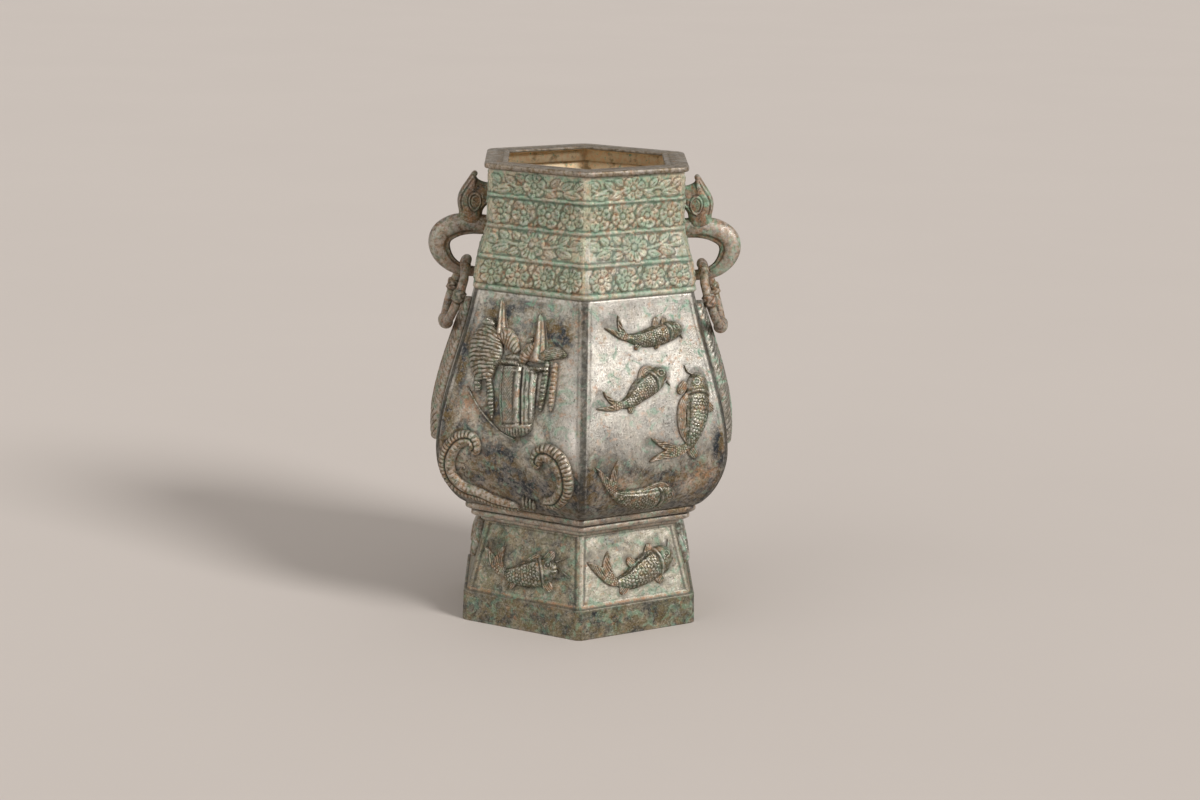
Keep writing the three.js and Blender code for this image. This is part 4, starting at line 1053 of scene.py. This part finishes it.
def trunk_form():
    """The trunk: oval rings along its middle line, with a ridge between two grooves along the inner side."""
    rows, columns = 120, 56
    spine = [(wall_face(up) + out, up) for out, up, _ in TRUNK]
    line = smooth_path(spine, rows)[0]
    knots = np.concatenate([[0], np.cumsum(np.hypot(*np.diff(np.array(spine), axis=0).T))])
    half = np.interp(np.linspace(0, 1, rows), knots / knots[-1], [thickness for _, _, thickness in TRUNK])
    half = evened(half, 6)[:, None]
    tangent = tangents(line)
    outwards = np.stack([-tangent[:, 1], tangent[:, 0]], axis=-1)
    turn = circle(columns)[None, :]
    t = np.linspace(0, 1, rows)[:, None]
    inner = np.abs(math.pi - turn)
    fade = ease(0.08, 0.2, t) * (1 - ease(0.8, 0.9, t))
    grooves = 0.06 * ridge(inner - 0.3, 0.16) + 0.05 * ridge(inner - 0.9, 0.12)
    swell = 1 + fade * (0.10 * ridge(inner - 0.62, 0.13) - grooves)
    across = half * swell * np.cos(turn)
    side = half * TRUNK_SIDE_RATIO * swell * np.sin(turn)
    x = line[:, :1] + outwards[:, :1] * across
    z = line[:, 1:] + outwards[:, 1:] * across + SHOULDER
    # Darkened grooves along the trunk's inner side: dirt with painted shade
    grime = 0.7 * fade * (ridge(inner - 0.3, 0.2) + ridge(inner - 0.95, 0.12))
    # Silvery wear with a painted sheen along both faces of the trunk
    wear_and_sheen = 0.5 * ridge(inner - 2.0, 0.5) * fade
    return tube_form(np.stack([x, side, z], axis=-1), grime=grime, silver=wear_and_sheen)


def head_form():
    """The head: a pillow over its outline, full at its middle and rounded off to nothing at the outline.

    share runs from the middle to the outline on one face, and back to the middle on the other. A band runs
    along the back of the head, and an almond with a coiled ear in it is raised on each cheek.
    """
    columns, steps = 150, 34
    outline = smooth_path(HEAD, columns, closed=True)[0]
    share = np.concatenate([np.linspace(0.03, 0.8, steps), 1 - 0.2 * np.linspace(0.93, 0, 12) ** 1.6])
    share = np.concatenate([share, share[-2::-1]])[:, None]
    face = np.concatenate([np.ones(steps + 12), -np.ones(steps + 11)])[:, None]
    out = HEAD_CENTRE[0] + (outline[None, :, 0] - HEAD_CENTRE[0]) * share
    up = HEAD_CENTRE[1] + (outline[None, :, 1] - HEAD_CENTRE[1]) * share
    depth = HEAD_HALF * np.clip(1 - share ** 3.6, 0, 1) ** 0.5 + 0 * out
    x, y = out - EAR[0], up - EAR[1]
    almond = np.hypot(x / 3.4, (y - 0.02 * x * x) / 5.0)
    angle = np.arctan2(y, x)
    coil = np.hypot(x + 0.4, y - 1.2) - 1.6 - 0.25 * angle
    line = smooth_path(JAW, 40)[0]
    jaw = np.min(np.hypot(out[..., None] - line[:, 0], up[..., None] - line[:, 1]), axis=-1)
    ear = 0.5 * ridge(almond - 1, 0.12) - 0.3 * ridge(almond - 1.25, 0.1)
    ear = ear - 0.2 * (1 - ease(0.75, 0.9, almond))
    ear = ear + 0.3 * ridge(coil, 0.5) * (1 - ease(0.7, 0.85, almond)) + 0.6 * ridge(jaw, 0.5)
    back = ease(8, 12, out) * ease(38, 43, up)
    band = (0.5 * ridge(share - 0.86, 0.05) - 0.45 * ridge(share - 0.74, 0.05)) * back
    open_side = 1 - ease(0.88, 0.99, share)
    depth = depth + (ear + band) * open_side
    # Darkened grooves round and inside the ear's almond and along the back band: dirt with painted shade
    grime = ridge(almond - 1.3, 0.15) + ridge(almond - 0.75, 0.1) + 0.6 * back * ridge(share - 0.74, 0.05)
    grid = np.stack([THROAT + out, face * depth, SHOULDER + up], axis=-1)
    return tube_form(grid, grime=np.clip(0.4 * grime * open_side, 0, 1))


def knob_form(centre, radius):
    """A small round knob, as rings of a ball that is drawn out a little upwards."""
    rows, columns = 16, 24
    polar = np.linspace(0.06, math.pi - 0.06, rows)[:, None]
    turn = circle(columns)[None, :]
    ball = [np.sin(polar) * np.cos(turn), np.sin(polar) * np.sin(turn), 1.1 * np.cos(polar) + 0 * turn]
    return tube_form(np.array(centre) + radius * np.stack(ball, axis=-1))


def handle_form():
    """The trunk, the head and the knob on the tip of its crest."""
    return joined([trunk_form(), head_form(), knob_form((THROAT + 9.3, 0, SHOULDER + 64.0), 1.7)])


# Loose rings, hung over the trunks' tips

# The ring's middle line, half its bar, half the solid ring's bar and the play over the trunk, in millimetres
RING_RADIUS = 20.3
RING_BAR = 3.02
SOLID_BAR = 3.1
RING_PLAY = 0.3
RING_LEAN = math.radians(18.5)
RING_TWIST = 0.12
REST_OUT, REST_UP, REST_HALF = TRUNK[-2]
HANGER = (wall_face(REST_UP) + REST_OUT, 0.0, SHOULDER + REST_UP + REST_HALF + RING_PLAY + SOLID_BAR)


def ring_form(twist):
    """A ring: a round bar along a circle, thicker at the foot, with bands by the top and a knot on each arm.

    The bar's radius swells in bells and soft steps at given angles from the top, and over the knot's width
    with a wavy cosine round the bar. The twist is how far an arm moves out from the vase for each millimetre
    towards the back.
    """
    rows, columns = 220, 30
    angle = circle(rows)[:, None]
    turn = circle(columns)[None, :]
    from_top = np.abs((angle + math.pi) % (2 * math.pi) - math.pi)
    bar = RING_BAR - 0.3 * ease(0.2, 0.6, from_top) + 1.55 * ease(2.55, 2.95, from_top)
    bar = bar + 0.55 * ridge(from_top - 0.42, 0.035) + 0.55 * ridge(from_top - 0.56, 0.035)
    knot = ease(1.38, 1.43, from_top) * (1 - ease(1.70, 1.75, from_top))
    wave = np.cos(turn * 5 + 2.2 * np.sin((from_top - 1.57) * 26))
    bar = bar + knot * (1.15 + 0.35 * wave)
    bar = bar - 0.5 * knot * ridge(from_top - 1.565, 0.022) + 0.25 * ridge(from_top - 1.36, 0.02)
    reach, aside = RING_RADIUS + bar * np.cos(turn), bar * np.sin(turn)
    y, z = reach * np.sin(angle), reach * np.cos(angle) - RING_RADIUS
    c, n = math.cos(RING_LEAN), math.sin(RING_LEAN)
    out = twist * y * ease(0.0, 0.5, -z / RING_RADIUS)
    points = np.stack([HANGER[0] + aside * c - z * n + out, y, HANGER[2] + z * c + aside * n], axis=-1)
    # Darkened troughs of the knots, the gap between the two bands and below each knot: dirt with painted shade
    grime = 0.7 * knot * ridge(wave + 1, 0.7)
    grime = grime + 0.6 * (ridge(from_top - 0.49, 0.03) + ridge(from_top - 1.77, 0.02))
    quads = grid_quads(rows, columns, ring=True, loop=True)
    return closed_form(points.reshape(-1, 3), quads, grime=np.clip(grime, 0, 1).ravel())


# Every casting in its place

HALF_TURN = math.pi
FOOT_CASTING_DEPTH = 0.8
BELLY_PANELS = {kind: Panel(BELLY_WALL, angle, FOOT_TOP) for kind, angle in KINDS.items()}
FOOT_PANELS = {kind: Panel(FOOT_WALL, angle, PLINTH_TOP, FOOT_CASTING_DEPTH) for kind, angle in KINDS.items()}

FRONT_RELIEFS = {
    "carp_ascending": fish(BELLY_PANELS["right"], CARP_ASCENDING),
    "carp_turning": fish(BELLY_PANELS["right"], CARP_TURNING),
    "carp_leaping": fish(BELLY_PANELS["right"], CARP_LEAPING),
    "carp_diving": fish(BELLY_PANELS["right"], CARP_DIVING),
    "creel": creel(BELLY_PANELS["left"]),
    "drum": drum(BELLY_PANELS["left"]),
    "serpent_left": serpent_left(BELLY_PANELS["left"]),
    "serpent_right": serpent_right(BELLY_PANELS["left"]),
    "foot_carp": fish(FOOT_PANELS["right"], FOOT_CARP),
    "foot_catfish": fish(FOOT_PANELS["left"], FOOT_CATFISH),
}
PLUME_FORM, LEAF_FORM = side_plume(BELLY_PANELS["end"]), foot_leaf(FOOT_PANELS["end"])
HANDLE_FORM = handle_form()

# What each end adds to the values of its handle, its ring and its two reliefs
# The right end's extra silver is partly a painted sheen on the side that faces the key light
HANDLE_TONES = {
    "right": {"silver": 0.15, "green": 0.5, "earthy": 0.6},
    "left": {"tarnish": 0.25, "earthy": 0.45},
}
RING_TONES = {
    "right": {"tarnish": 0.45, "green": 0.1, "earthy": 0.9},
    "left": {"tarnish": 0.35, "earthy": 0.8},
}
# The right end's reliefs take extra silver, partly a painted sheen
RELIEF_TONES = {
    "right": {"silver": 0.3, "green": 0.7},
    "left": {"silver": 0.15, "green": 0.2, "earthy": 0.5},
}


def toned(form, tones):
    """The form with tones added to the values that it has."""
    count = len(form["points"])
    mixed = {name: form["values"].get(name, np.zeros(count)) + tone for name, tone in tones.items()}
    return {**form, "values": {**form["values"], **mixed}}


for name, form in FRONT_RELIEFS.items():
    for end, angle in (("front", 0.0), ("back", HALF_TURN)):
        make_piece(f"{name}_casting_{end}", turned(form, angle), "vase", RELIEF_BRONZE,
                   f"{name}_{end}")
for end, angle, twist in (("right", 0.0, RING_TWIST), ("left", HALF_TURN, -RING_TWIST)):
    end_forms = {
        "side_plume": (toned(PLUME_FORM, RELIEF_TONES[end]), "vase", "relief", RELIEF_BRONZE),
        "foot_leaf": (toned(LEAF_FORM, RELIEF_TONES[end]), "vase", "relief", RELIEF_BRONZE),
        "handle": (toned(HANDLE_FORM, HANDLE_TONES[end]), "vase", "handle", HANDLE_BRONZE),
        "ring": (toned(ring_form(twist), RING_TONES[end]), f"{end}_ring", "handle", HANDLE_BRONZE),
    }
    for name, (form, body, slot_name, finish) in end_forms.items():
        make_piece(f"{name}_casting_{end}", turned(form, angle), body, finish, f"{name}_{end}")


# The belly

WAIST_RIBS = ((68.3, 63.2, 1.7), (74.8, 67.2, 2.0), (78.4, 72.4, 2.4))


def waist_radius(z):
    """The three half-round ribs, each its core and the root of its round squared minus the gap squared."""
    base = np.interp(z, [FOOT_TOP, 65.1, 69.6, 73.6, 75.0], [FOOT_TOP_RADIUS, 67.4, 73.6, 77.4, 82.6])
    beads = [(core + np.sqrt(np.clip(half ** 2 - (z - level) ** 2, 0, None))) * (np.abs(z - level) < half)
             for core, level, half in WAIST_RIBS]
    inside = [np.abs(z - level) < half for _, level, half in WAIST_RIBS]
    return np.where(np.any(inside, axis=0), np.max(beads, axis=0), base)


def belly_pattern(s, z):
    """A slight unevenness, and a thin raised line along each side of the corner flats."""
    uneven = 0.10 * np.sin(s * 0.21 + 1.4 * np.sin(z * 0.11)) * np.sin(z * 0.17 + s * 0.09)
    gap = corner_gap(s, BELLY_WALL.radius(z))
    return (uneven + 0.18 * ridge(gap - 2.7, 0.7)) * ease(75, 78, z) * (1 - ease(201, 203, z))


# Blotches on the walls as (s, z, half width, half height, strength): dark tarnish, verdigris bloom and earth
RIGHT_TARNISH = (
    (8, 99, 20, 4, 0.7), (38, 92, 9, 9, 0.6), (-46, 92, 9, 18, 1.0), (-22, 84, 16, 9, 0.8), (8, 97, 9, 5, 0.8),
    (32, 80, 16, 10, 0.9), (45, 112, 5, 13, 1.0), (0, 82, 16, 6, 0.7), (-6, 104, 4, 3, 0.6),
)
LEFT_TARNISH = (
    (-8, 99, 17, 9, 0.7), (16, 92, 12, 8, 0.8), (44, 92, 5, 14, 0.8), (-39, 166, 4, 22, 0.9),
    (-46, 126, 6, 17, 1.0), (-33, 122, 7, 6, 0.9), (-14, 136, 8, 12, 0.7), (-6, 108, 12, 9, 1.0),
    (-18, 92, 12, 9, 0.7), (4, 90, 16, 12, 0.8), (29, 92, 8, 12, 1.0), (47, 86, 8, 16, 1.0),
    (-18, 192, 9, 7, 0.9), (20, 184, 13, 8, 0.9), (-41, 92, 7, 14, 0.7), (20, 79, 22, 5, 0.9),
)
RIGHT_BLOOM = (
    (30, 190, 16, 14, 0.8), (38, 165, 7, 22, 0.7), (0, 165, 16, 10, 0.3), (-20, 150, 16, 12, 0.25),
    (-40, 84, 10, 8, 0.6),
)
LEFT_BLOOM = (
    (-20, 199, 18, 7, 1.0), (10, 196, 16, 8, 1.0), (38, 188, 6, 10, 0.7), (-34, 190, 8, 14, 0.5),
    (0, 122, 16, 4, 0.9), (4, 100, 22, 9, 0.6), (-36, 80, 20, 6, 0.6), (20, 76, 24, 5, 0.6),
)
RIGHT_EARTH = ((32, 96, 14, 9, 1.0), (-26, 97, 14, 6, 0.8), (2, 92, 20, 5, 0.6), (44, 90, 6, 10, 0.6))
LEFT_EARTH = (
    (-30, 138, 10, 9, 0.9), (-38, 108, 8, 10, 0.8), (-20, 88, 12, 7, 0.6), (24, 168, 6, 12, 0.5),
    (0, 176, 8, 6, 0.4), (-6, 76, 30, 4, 0.5),
)

# The ends take the blotches of the left wall
RIGHT_BLOTCHES = (RIGHT_TARNISH, RIGHT_BLOOM, RIGHT_EARTH)
LEFT_BLOTCHES = (LEFT_TARNISH, LEFT_BLOOM, LEFT_EARTH)


def blots(s, z, spots):
    """The strongest of several bell-shaped spots at each point."""
    bells = [strength * ridge(np.hypot((s - s0) / wide, (z - z0) / tall), 1.0)
             for s0, z0, wide, tall, strength in spots]
    return np.max(bells, axis=0)


# How silvery each kind of side is high on the belly: partly silvery wear, partly a painted sheen that makes
# the side facing the key light the brightest
SILVER_AND_SHEEN = {"right": 0.8, "end": 0.5, "left": 0.3}


def belly_values(side, s, z, lift):
    """Painted shadow round the castings, painted shade in the rib gaps, on the corner flats and under the
    swell just above the ribs, and silvery wear with a painted sheen high on the sides.

    Stains, verdigris and sandy earth lie in the blotches, and painted glare highlights beside the left wall's
    corners.
    """
    kind = kind_of(side)
    bright_side = kind == "right"
    gap = corner_gap(s, BELLY_WALL.radius(z))
    low = 1 - ease(85, 125, z)
    # The corner flats are darkened as painted shade, and lose some of their silver
    corner = 1 - ease(1.5, 3.4 + 3.0 * low, gap)
    ribs = 1 - ease(74.5, 75.5, z)
    rounds = [half_round((z - level) / half) for _, level, half in WAIST_RIBS]
    # Painted shade in the gaps between the waist ribs
    rib_gap_shade = ribs * (1 - np.max(rounds, axis=0))
    # Painted shadow round the castings
    casting_shadow = BELLY_PANELS[kind].shadow(s, z, 1.6)
    # Painted shade under the belly's swell, just above the ribs
    base = 0.7 * (1 - ease(78, 86, z)) * (1 - ribs)
    grime = np.maximum(np.maximum(0.6 * casting_shadow, base), np.maximum(rib_gap_shade, 0.95 * corner * (1 - ribs)))
    # Painted glare highlights: silvery streaks beside the left wall's corners, strong enough to pass 1 and
    # turn to glare
    painted_glare = 0
    if kind == "left":
        painted_glare = (0.5 + 0.5 * ridge(z - 126, 16)) * ridge(gap - 7.0, 7.0) * ease(100, 112, z)
        painted_glare = painted_glare * (1 - ease(182, 200, z)) * (s > 0)
        painted_glare = painted_glare + 0.9 * ridge(gap - 3.2, 0.8) * ease(118, 135, z) * (s < 0)
    # Silver high on the sides, partly a painted sheen, and less of it on the corner flats
    silver = (SILVER_AND_SHEEN[kind] * ease(100, 122, z) + painted_glare) * (1 - 0.6 * corner) * (1 - ribs) + 0.35 * ribs
    stains, bloom, sand = (blots(s, z, spots) for spots in (RIGHT_BLOTCHES if bright_side else LEFT_BLOTCHES))
    dark = np.minimum(1.6 * stains, 1)
    rust = ridge(gap - 1.5, 1.2) * ridge(z - 186, 5) * (s > 0) * bright_side
    return {
        "grime": np.clip(grime, 0, 1),
        "green": np.clip(0.15 + bloom + 0.3 * casting_shadow, 0, 1),
        "silver": np.clip(silver * (1 - 0.8 * dark) * (1 - 0.6 * sand), 0, 1.6),
        "tarnish": dark,
        "earthy": 0.4 * ribs + 0.9 * rust + 0.9 * sand,
    }


waist_heights = np.linspace(FOOT_TOP, 75.0, 71)
belly_heights = np.linspace(76.2, SHOULDER, 108)
belly_heights_in = np.linspace(SHOULDER - 3, 78, 22)
BELLY_FORM = casting(
    [*zip(waist_radius(waist_heights), waist_heights), *zip(BELLY_WALL.radius(belly_heights), belly_heights),
     (71.25, SHOULDER), (71.25, 211), (68.25, 211), (68.25, 201.8)],
    [*zip(BELLY_WALL.radius(belly_heights_in) - 3.7, belly_heights_in), (63.6, 75), (63.6, FOOT_TOP)],
    interior=58, proud=belly_pattern, values=belly_values,
)


# The foot

def panel_gap(s, z):
    """How far a point on the foot lies inside the border of its side's sunk panel."""
    return np.minimum(corner_gap(s, FOOT_WALL.radius(z)) - 2.4, np.minimum(z - 20.6, 60.2 - z))


def foot_pattern(s, z):
    """A panel sunk 0.6 mm into each side, with a soft step at its border and a slightly uneven ground."""
    gap = panel_gap(s, z)
    uneven = 0.10 * np.sin(s * 0.45 + 1.1 * np.sin(z * 0.5)) * np.sin(z * 0.6) * ease(1, 3, gap)
    return uneven - 0.6 * ease(-1.5, 1.1, gap)


def foot_values(side, s, z, lift):
    """Painted shadow round the castings, a dark line at the plinth's top edge, earth on the panels' borders,
    silver that is partly a painted sheen on the right side, and a dark plinth.
    """
    kind = kind_of(side)
    bright_side = kind == "right"
    gap = panel_gap(s, z)
    # Painted shadow round the castings
    casting_shadow = FOOT_PANELS[kind].shadow(s, z, 2.2)
    step = ridge(z - PLINTH_TOP + 0.6, 0.6)
    plinth = 1 - ease(PLINTH_TOP - 0.5, PLINTH_TOP, z)
    earth = 0.8 * ridge(z - 19.6, 0.8) * (z > PLINTH_TOP - 0.2)
    return {
        "grime": np.clip(np.maximum(0.6 * casting_shadow, 0.5 * step), 0, 1),
        "green": np.clip(0.1 * plinth + 0.15 + 0.3 * ridge(z - 52, 8) * ease(5, 25, s), 0, 1),
        "silver": (1 - plinth) * (0.45 if bright_side else 0.05),
        "tarnish": 0.36 * plinth if bright_side else 0.42 * plinth + 0.25 * (1 - plinth),
        "earthy": earth + 0.25 * ridge(gap + 1.0, 0.6) * (1 - plinth),
    }


plinth_heights = np.linspace(0.5, PLINTH_TOP - 0.5, 26)
panel_heights = np.linspace(19.9, FOOT_TOP, 96)
FOOT_FORM = casting(
    [(81.4, 0), (81.9, 0.15), *zip(82 - 0.6 * (plinth_heights / PLINTH_TOP), plinth_heights),
     (81.3, PLINTH_TOP - 0.1), (80.9, PLINTH_TOP), (80, PLINTH_TOP), (79.6, PLINTH_TOP + 0.1), (79.1, 19.0),
     *zip(FOOT_WALL.radius(panel_heights), panel_heights)],
    [(63.25, FOOT_TOP), (63.25, 67), (60.25, 67), (60.25, FOOT_TOP), (54.25, FOOT_TOP), (54.25, 57),
     (63.98, 57), (75.8, PLINTH_TOP), (78.8, 15.2), (78.8, 0)],
    interior=78, proud=foot_pattern, values=foot_values,
)


# The mouth rim: a flange with rounded corners, a rounded outer edge and a thin lip round the mouth

# Its section as (corner radius, height, facet at the corner)
RIM_SECTION = [
    (62.96, 270.5, 0.2), (62.96, 276.4, 0.2), (63.2, 276.6, 3.5), (68.8, 276.6, 9), (69.7, 276.8, 9),
    (70.15, 277.3, 9), (70.3, 278.2, 9), (70.25, 279.1, 9), (69.9, 279.7, 9), (69.3, 280, 9), (66, 280, 5),
    (62, 279.95, 2), (58, 279.9, 0.5), (56.6, 279.95, 0.2), (55.4, 279.95, 0.2), (54.5, 279.7, 0.2),
    (54.0, 279.1, 0.2), (54.1, 278.5, 0.2), (54.6, 278.1, 0.2), (56.5, 277.7, 0.2), (59.96, 277, 0.2),
    (59.96, 270.5, 0.2),
]
rim_radii, rim_heights, rim_facets = np.array(RIM_SECTION).T
rim_skin = hex_shell(rim_radii, rim_heights, interior=40, facet=rim_facets, soft=1.0)[0]
rim_rows, rim_columns = rim_skin.shape[:2]
# Painted shade under the flange and on the lip's inner face
rim_shaded = (rim_heights < 277) | (rim_radii < 54.4)
rim_inside = (rim_radii < 62) & (rim_heights < 278.2)
RIM_FORM = closed_form(
    rim_skin.reshape(-1, 3), grid_quads(rim_rows, rim_columns, ring=True, loop=True),
    grime=np.repeat(0.7 * rim_shaded, rim_columns),
    silver=np.full(rim_rows * rim_columns, 0.05),
    inside=np.repeat(1.0 * rim_inside, rim_columns),
)

make_piece("belly_shell", BELLY_FORM, "vase", BELLY_BRONZE, "belly")
make_piece("neck_shell", NECK_FORM, "vase", NECK_BRONZE, "neck")
make_piece("foot_shell", FOOT_FORM, "vase", FOOT_BRONZE, "foot")
make_piece("rim_flange", RIM_FORM, "vase", RIM_BRONZE, "mouth_rim")
for node in ("floor_plate", "rivet_lower_right", "rivet_upper_right", "rivet_lower_left", "rivet_upper_left"):
    for slot in bpy.data.objects[node].material_slots:
        slot.material = INSIDE_BRONZE


# Studio: a pale floor, soft daylight all round and a broad key from the right

def plain_finish(name, colour):
    """A matt painted finish of one colour, faintly clouded."""
    f = Finish(name)
    clouded = f.mix(f.patches(400.0, 0.3, 0.7), colour, tuple(c * 0.985 for c in colour[:3]) + (1.0,))
    f.tree.links.new(clouded, f.shader.inputs["Base Color"])
    f.shader.inputs["Roughness"].default_value = 0.9
    return f.material


def floor_disc(radius, rings, spokes):
    """A round floor: rings of points whose radius grows with the square of their number."""
    r = radius * (np.arange(1, rings + 1) / rings) ** 2
    turn = circle(spokes)
    x, y = r[:, None] * np.cos(turn), r[:, None] * np.sin(turn)
    points = np.stack([x, y, np.zeros(x.shape)], axis=-1)
    mesh = bpy.data.meshes.new("floor")
    quads = grid_quads(rings, spokes, ring=True)
    middle = [tuple(range(spokes))]
    mesh.from_pydata(points.reshape(-1, 3).tolist(), [], middle + quads.tolist())
    mesh.materials.append(plain_finish("floor_paint", FLOOR_COLOUR))
    floor = bpy.data.objects.new("floor", mesh)
    bpy.context.scene.collection.objects.link(floor)


FLOOR_COLOUR = to_linear(204, 196, 190)
WORLD_COLOUR = to_linear(203, 199, 195)
DAYLIGHT = 0.82
KEY = 2.3
FILL = 0.6

floor_disc(radius=30.0, rings=40, spokes=96)

world = bpy.data.worlds.new("daylight")
world.use_nodes = True
sky = world.node_tree.nodes["Background"]
sky.inputs["Color"].default_value = WORLD_COLOUR
sky.inputs["Strength"].default_value = DAYLIGHT
bpy.context.scene.world = world


def sun(name, towards, strength, spread, colour=(1.0, 0.985, 0.965)):
    """A broad distant lamp that shines from a direction."""
    lamp = bpy.data.lights.new(name, "SUN")
    lamp.energy, lamp.angle, lamp.color = strength, math.radians(spread), colour
    holder = bpy.data.objects.new(name, lamp)
    away = np.array(towards, float) / np.linalg.norm(towards)
    holder.rotation_euler = (math.acos(away[2]), 0.0, math.atan2(away[1], away[0]) + math.pi / 2)
    bpy.context.scene.collection.objects.link(holder)


sun("key", (0.62, -0.56, 0.56), KEY, 18)
sun("fill", (-0.75, -0.6, 0.45), FILL, 60)

# Camera, fitted to the photograph's corners and edges, in radians, millimetres and pixels of its frame
AZIMUTH, ELEVATION, ROLL = -0.02028, 0.22028, 0.02066
DISTANCE, SHIFT_RIGHT, SHIFT_UP = 1600.0, 11.238, -10.003
FOCAL_PIXELS, FRAME_PIXELS, SENSOR = 2595.33, 1200, 36.0


def camera_frame():
    """The camera's axes and place: it looks along -back from DISTANCE, moved by two shifts, and rolled."""
    back = np.array([math.sin(AZIMUTH) * math.cos(ELEVATION), -math.cos(AZIMUTH) * math.cos(ELEVATION),
                     math.sin(ELEVATION)])
    right = np.array([math.cos(AZIMUTH), math.sin(AZIMUTH), 0])
    up = np.cross(back, right)
    place = np.array([0, 0, RIM_TOP / 2]) + back * DISTANCE + right * SHIFT_RIGHT + up * SHIFT_UP
    c, n = math.cos(ROLL), math.sin(ROLL)
    axes = np.column_stack([c * right + n * up, -n * right + c * up, back, place * MM])
    return Matrix([*axes.tolist(), [0, 0, 0, 1]])


lens = bpy.data.cameras.new("camera")
lens.sensor_width, lens.sensor_fit = SENSOR, "HORIZONTAL"
lens.lens = FOCAL_PIXELS * SENSOR / FRAME_PIXELS
camera = bpy.data.objects.new("camera", lens)
camera.matrix_world = camera_frame()
bpy.context.scene.collection.objects.link(camera)
bpy.context.scene.camera = camera
bpy.context.scene.view_settings.view_transform = "Standard"
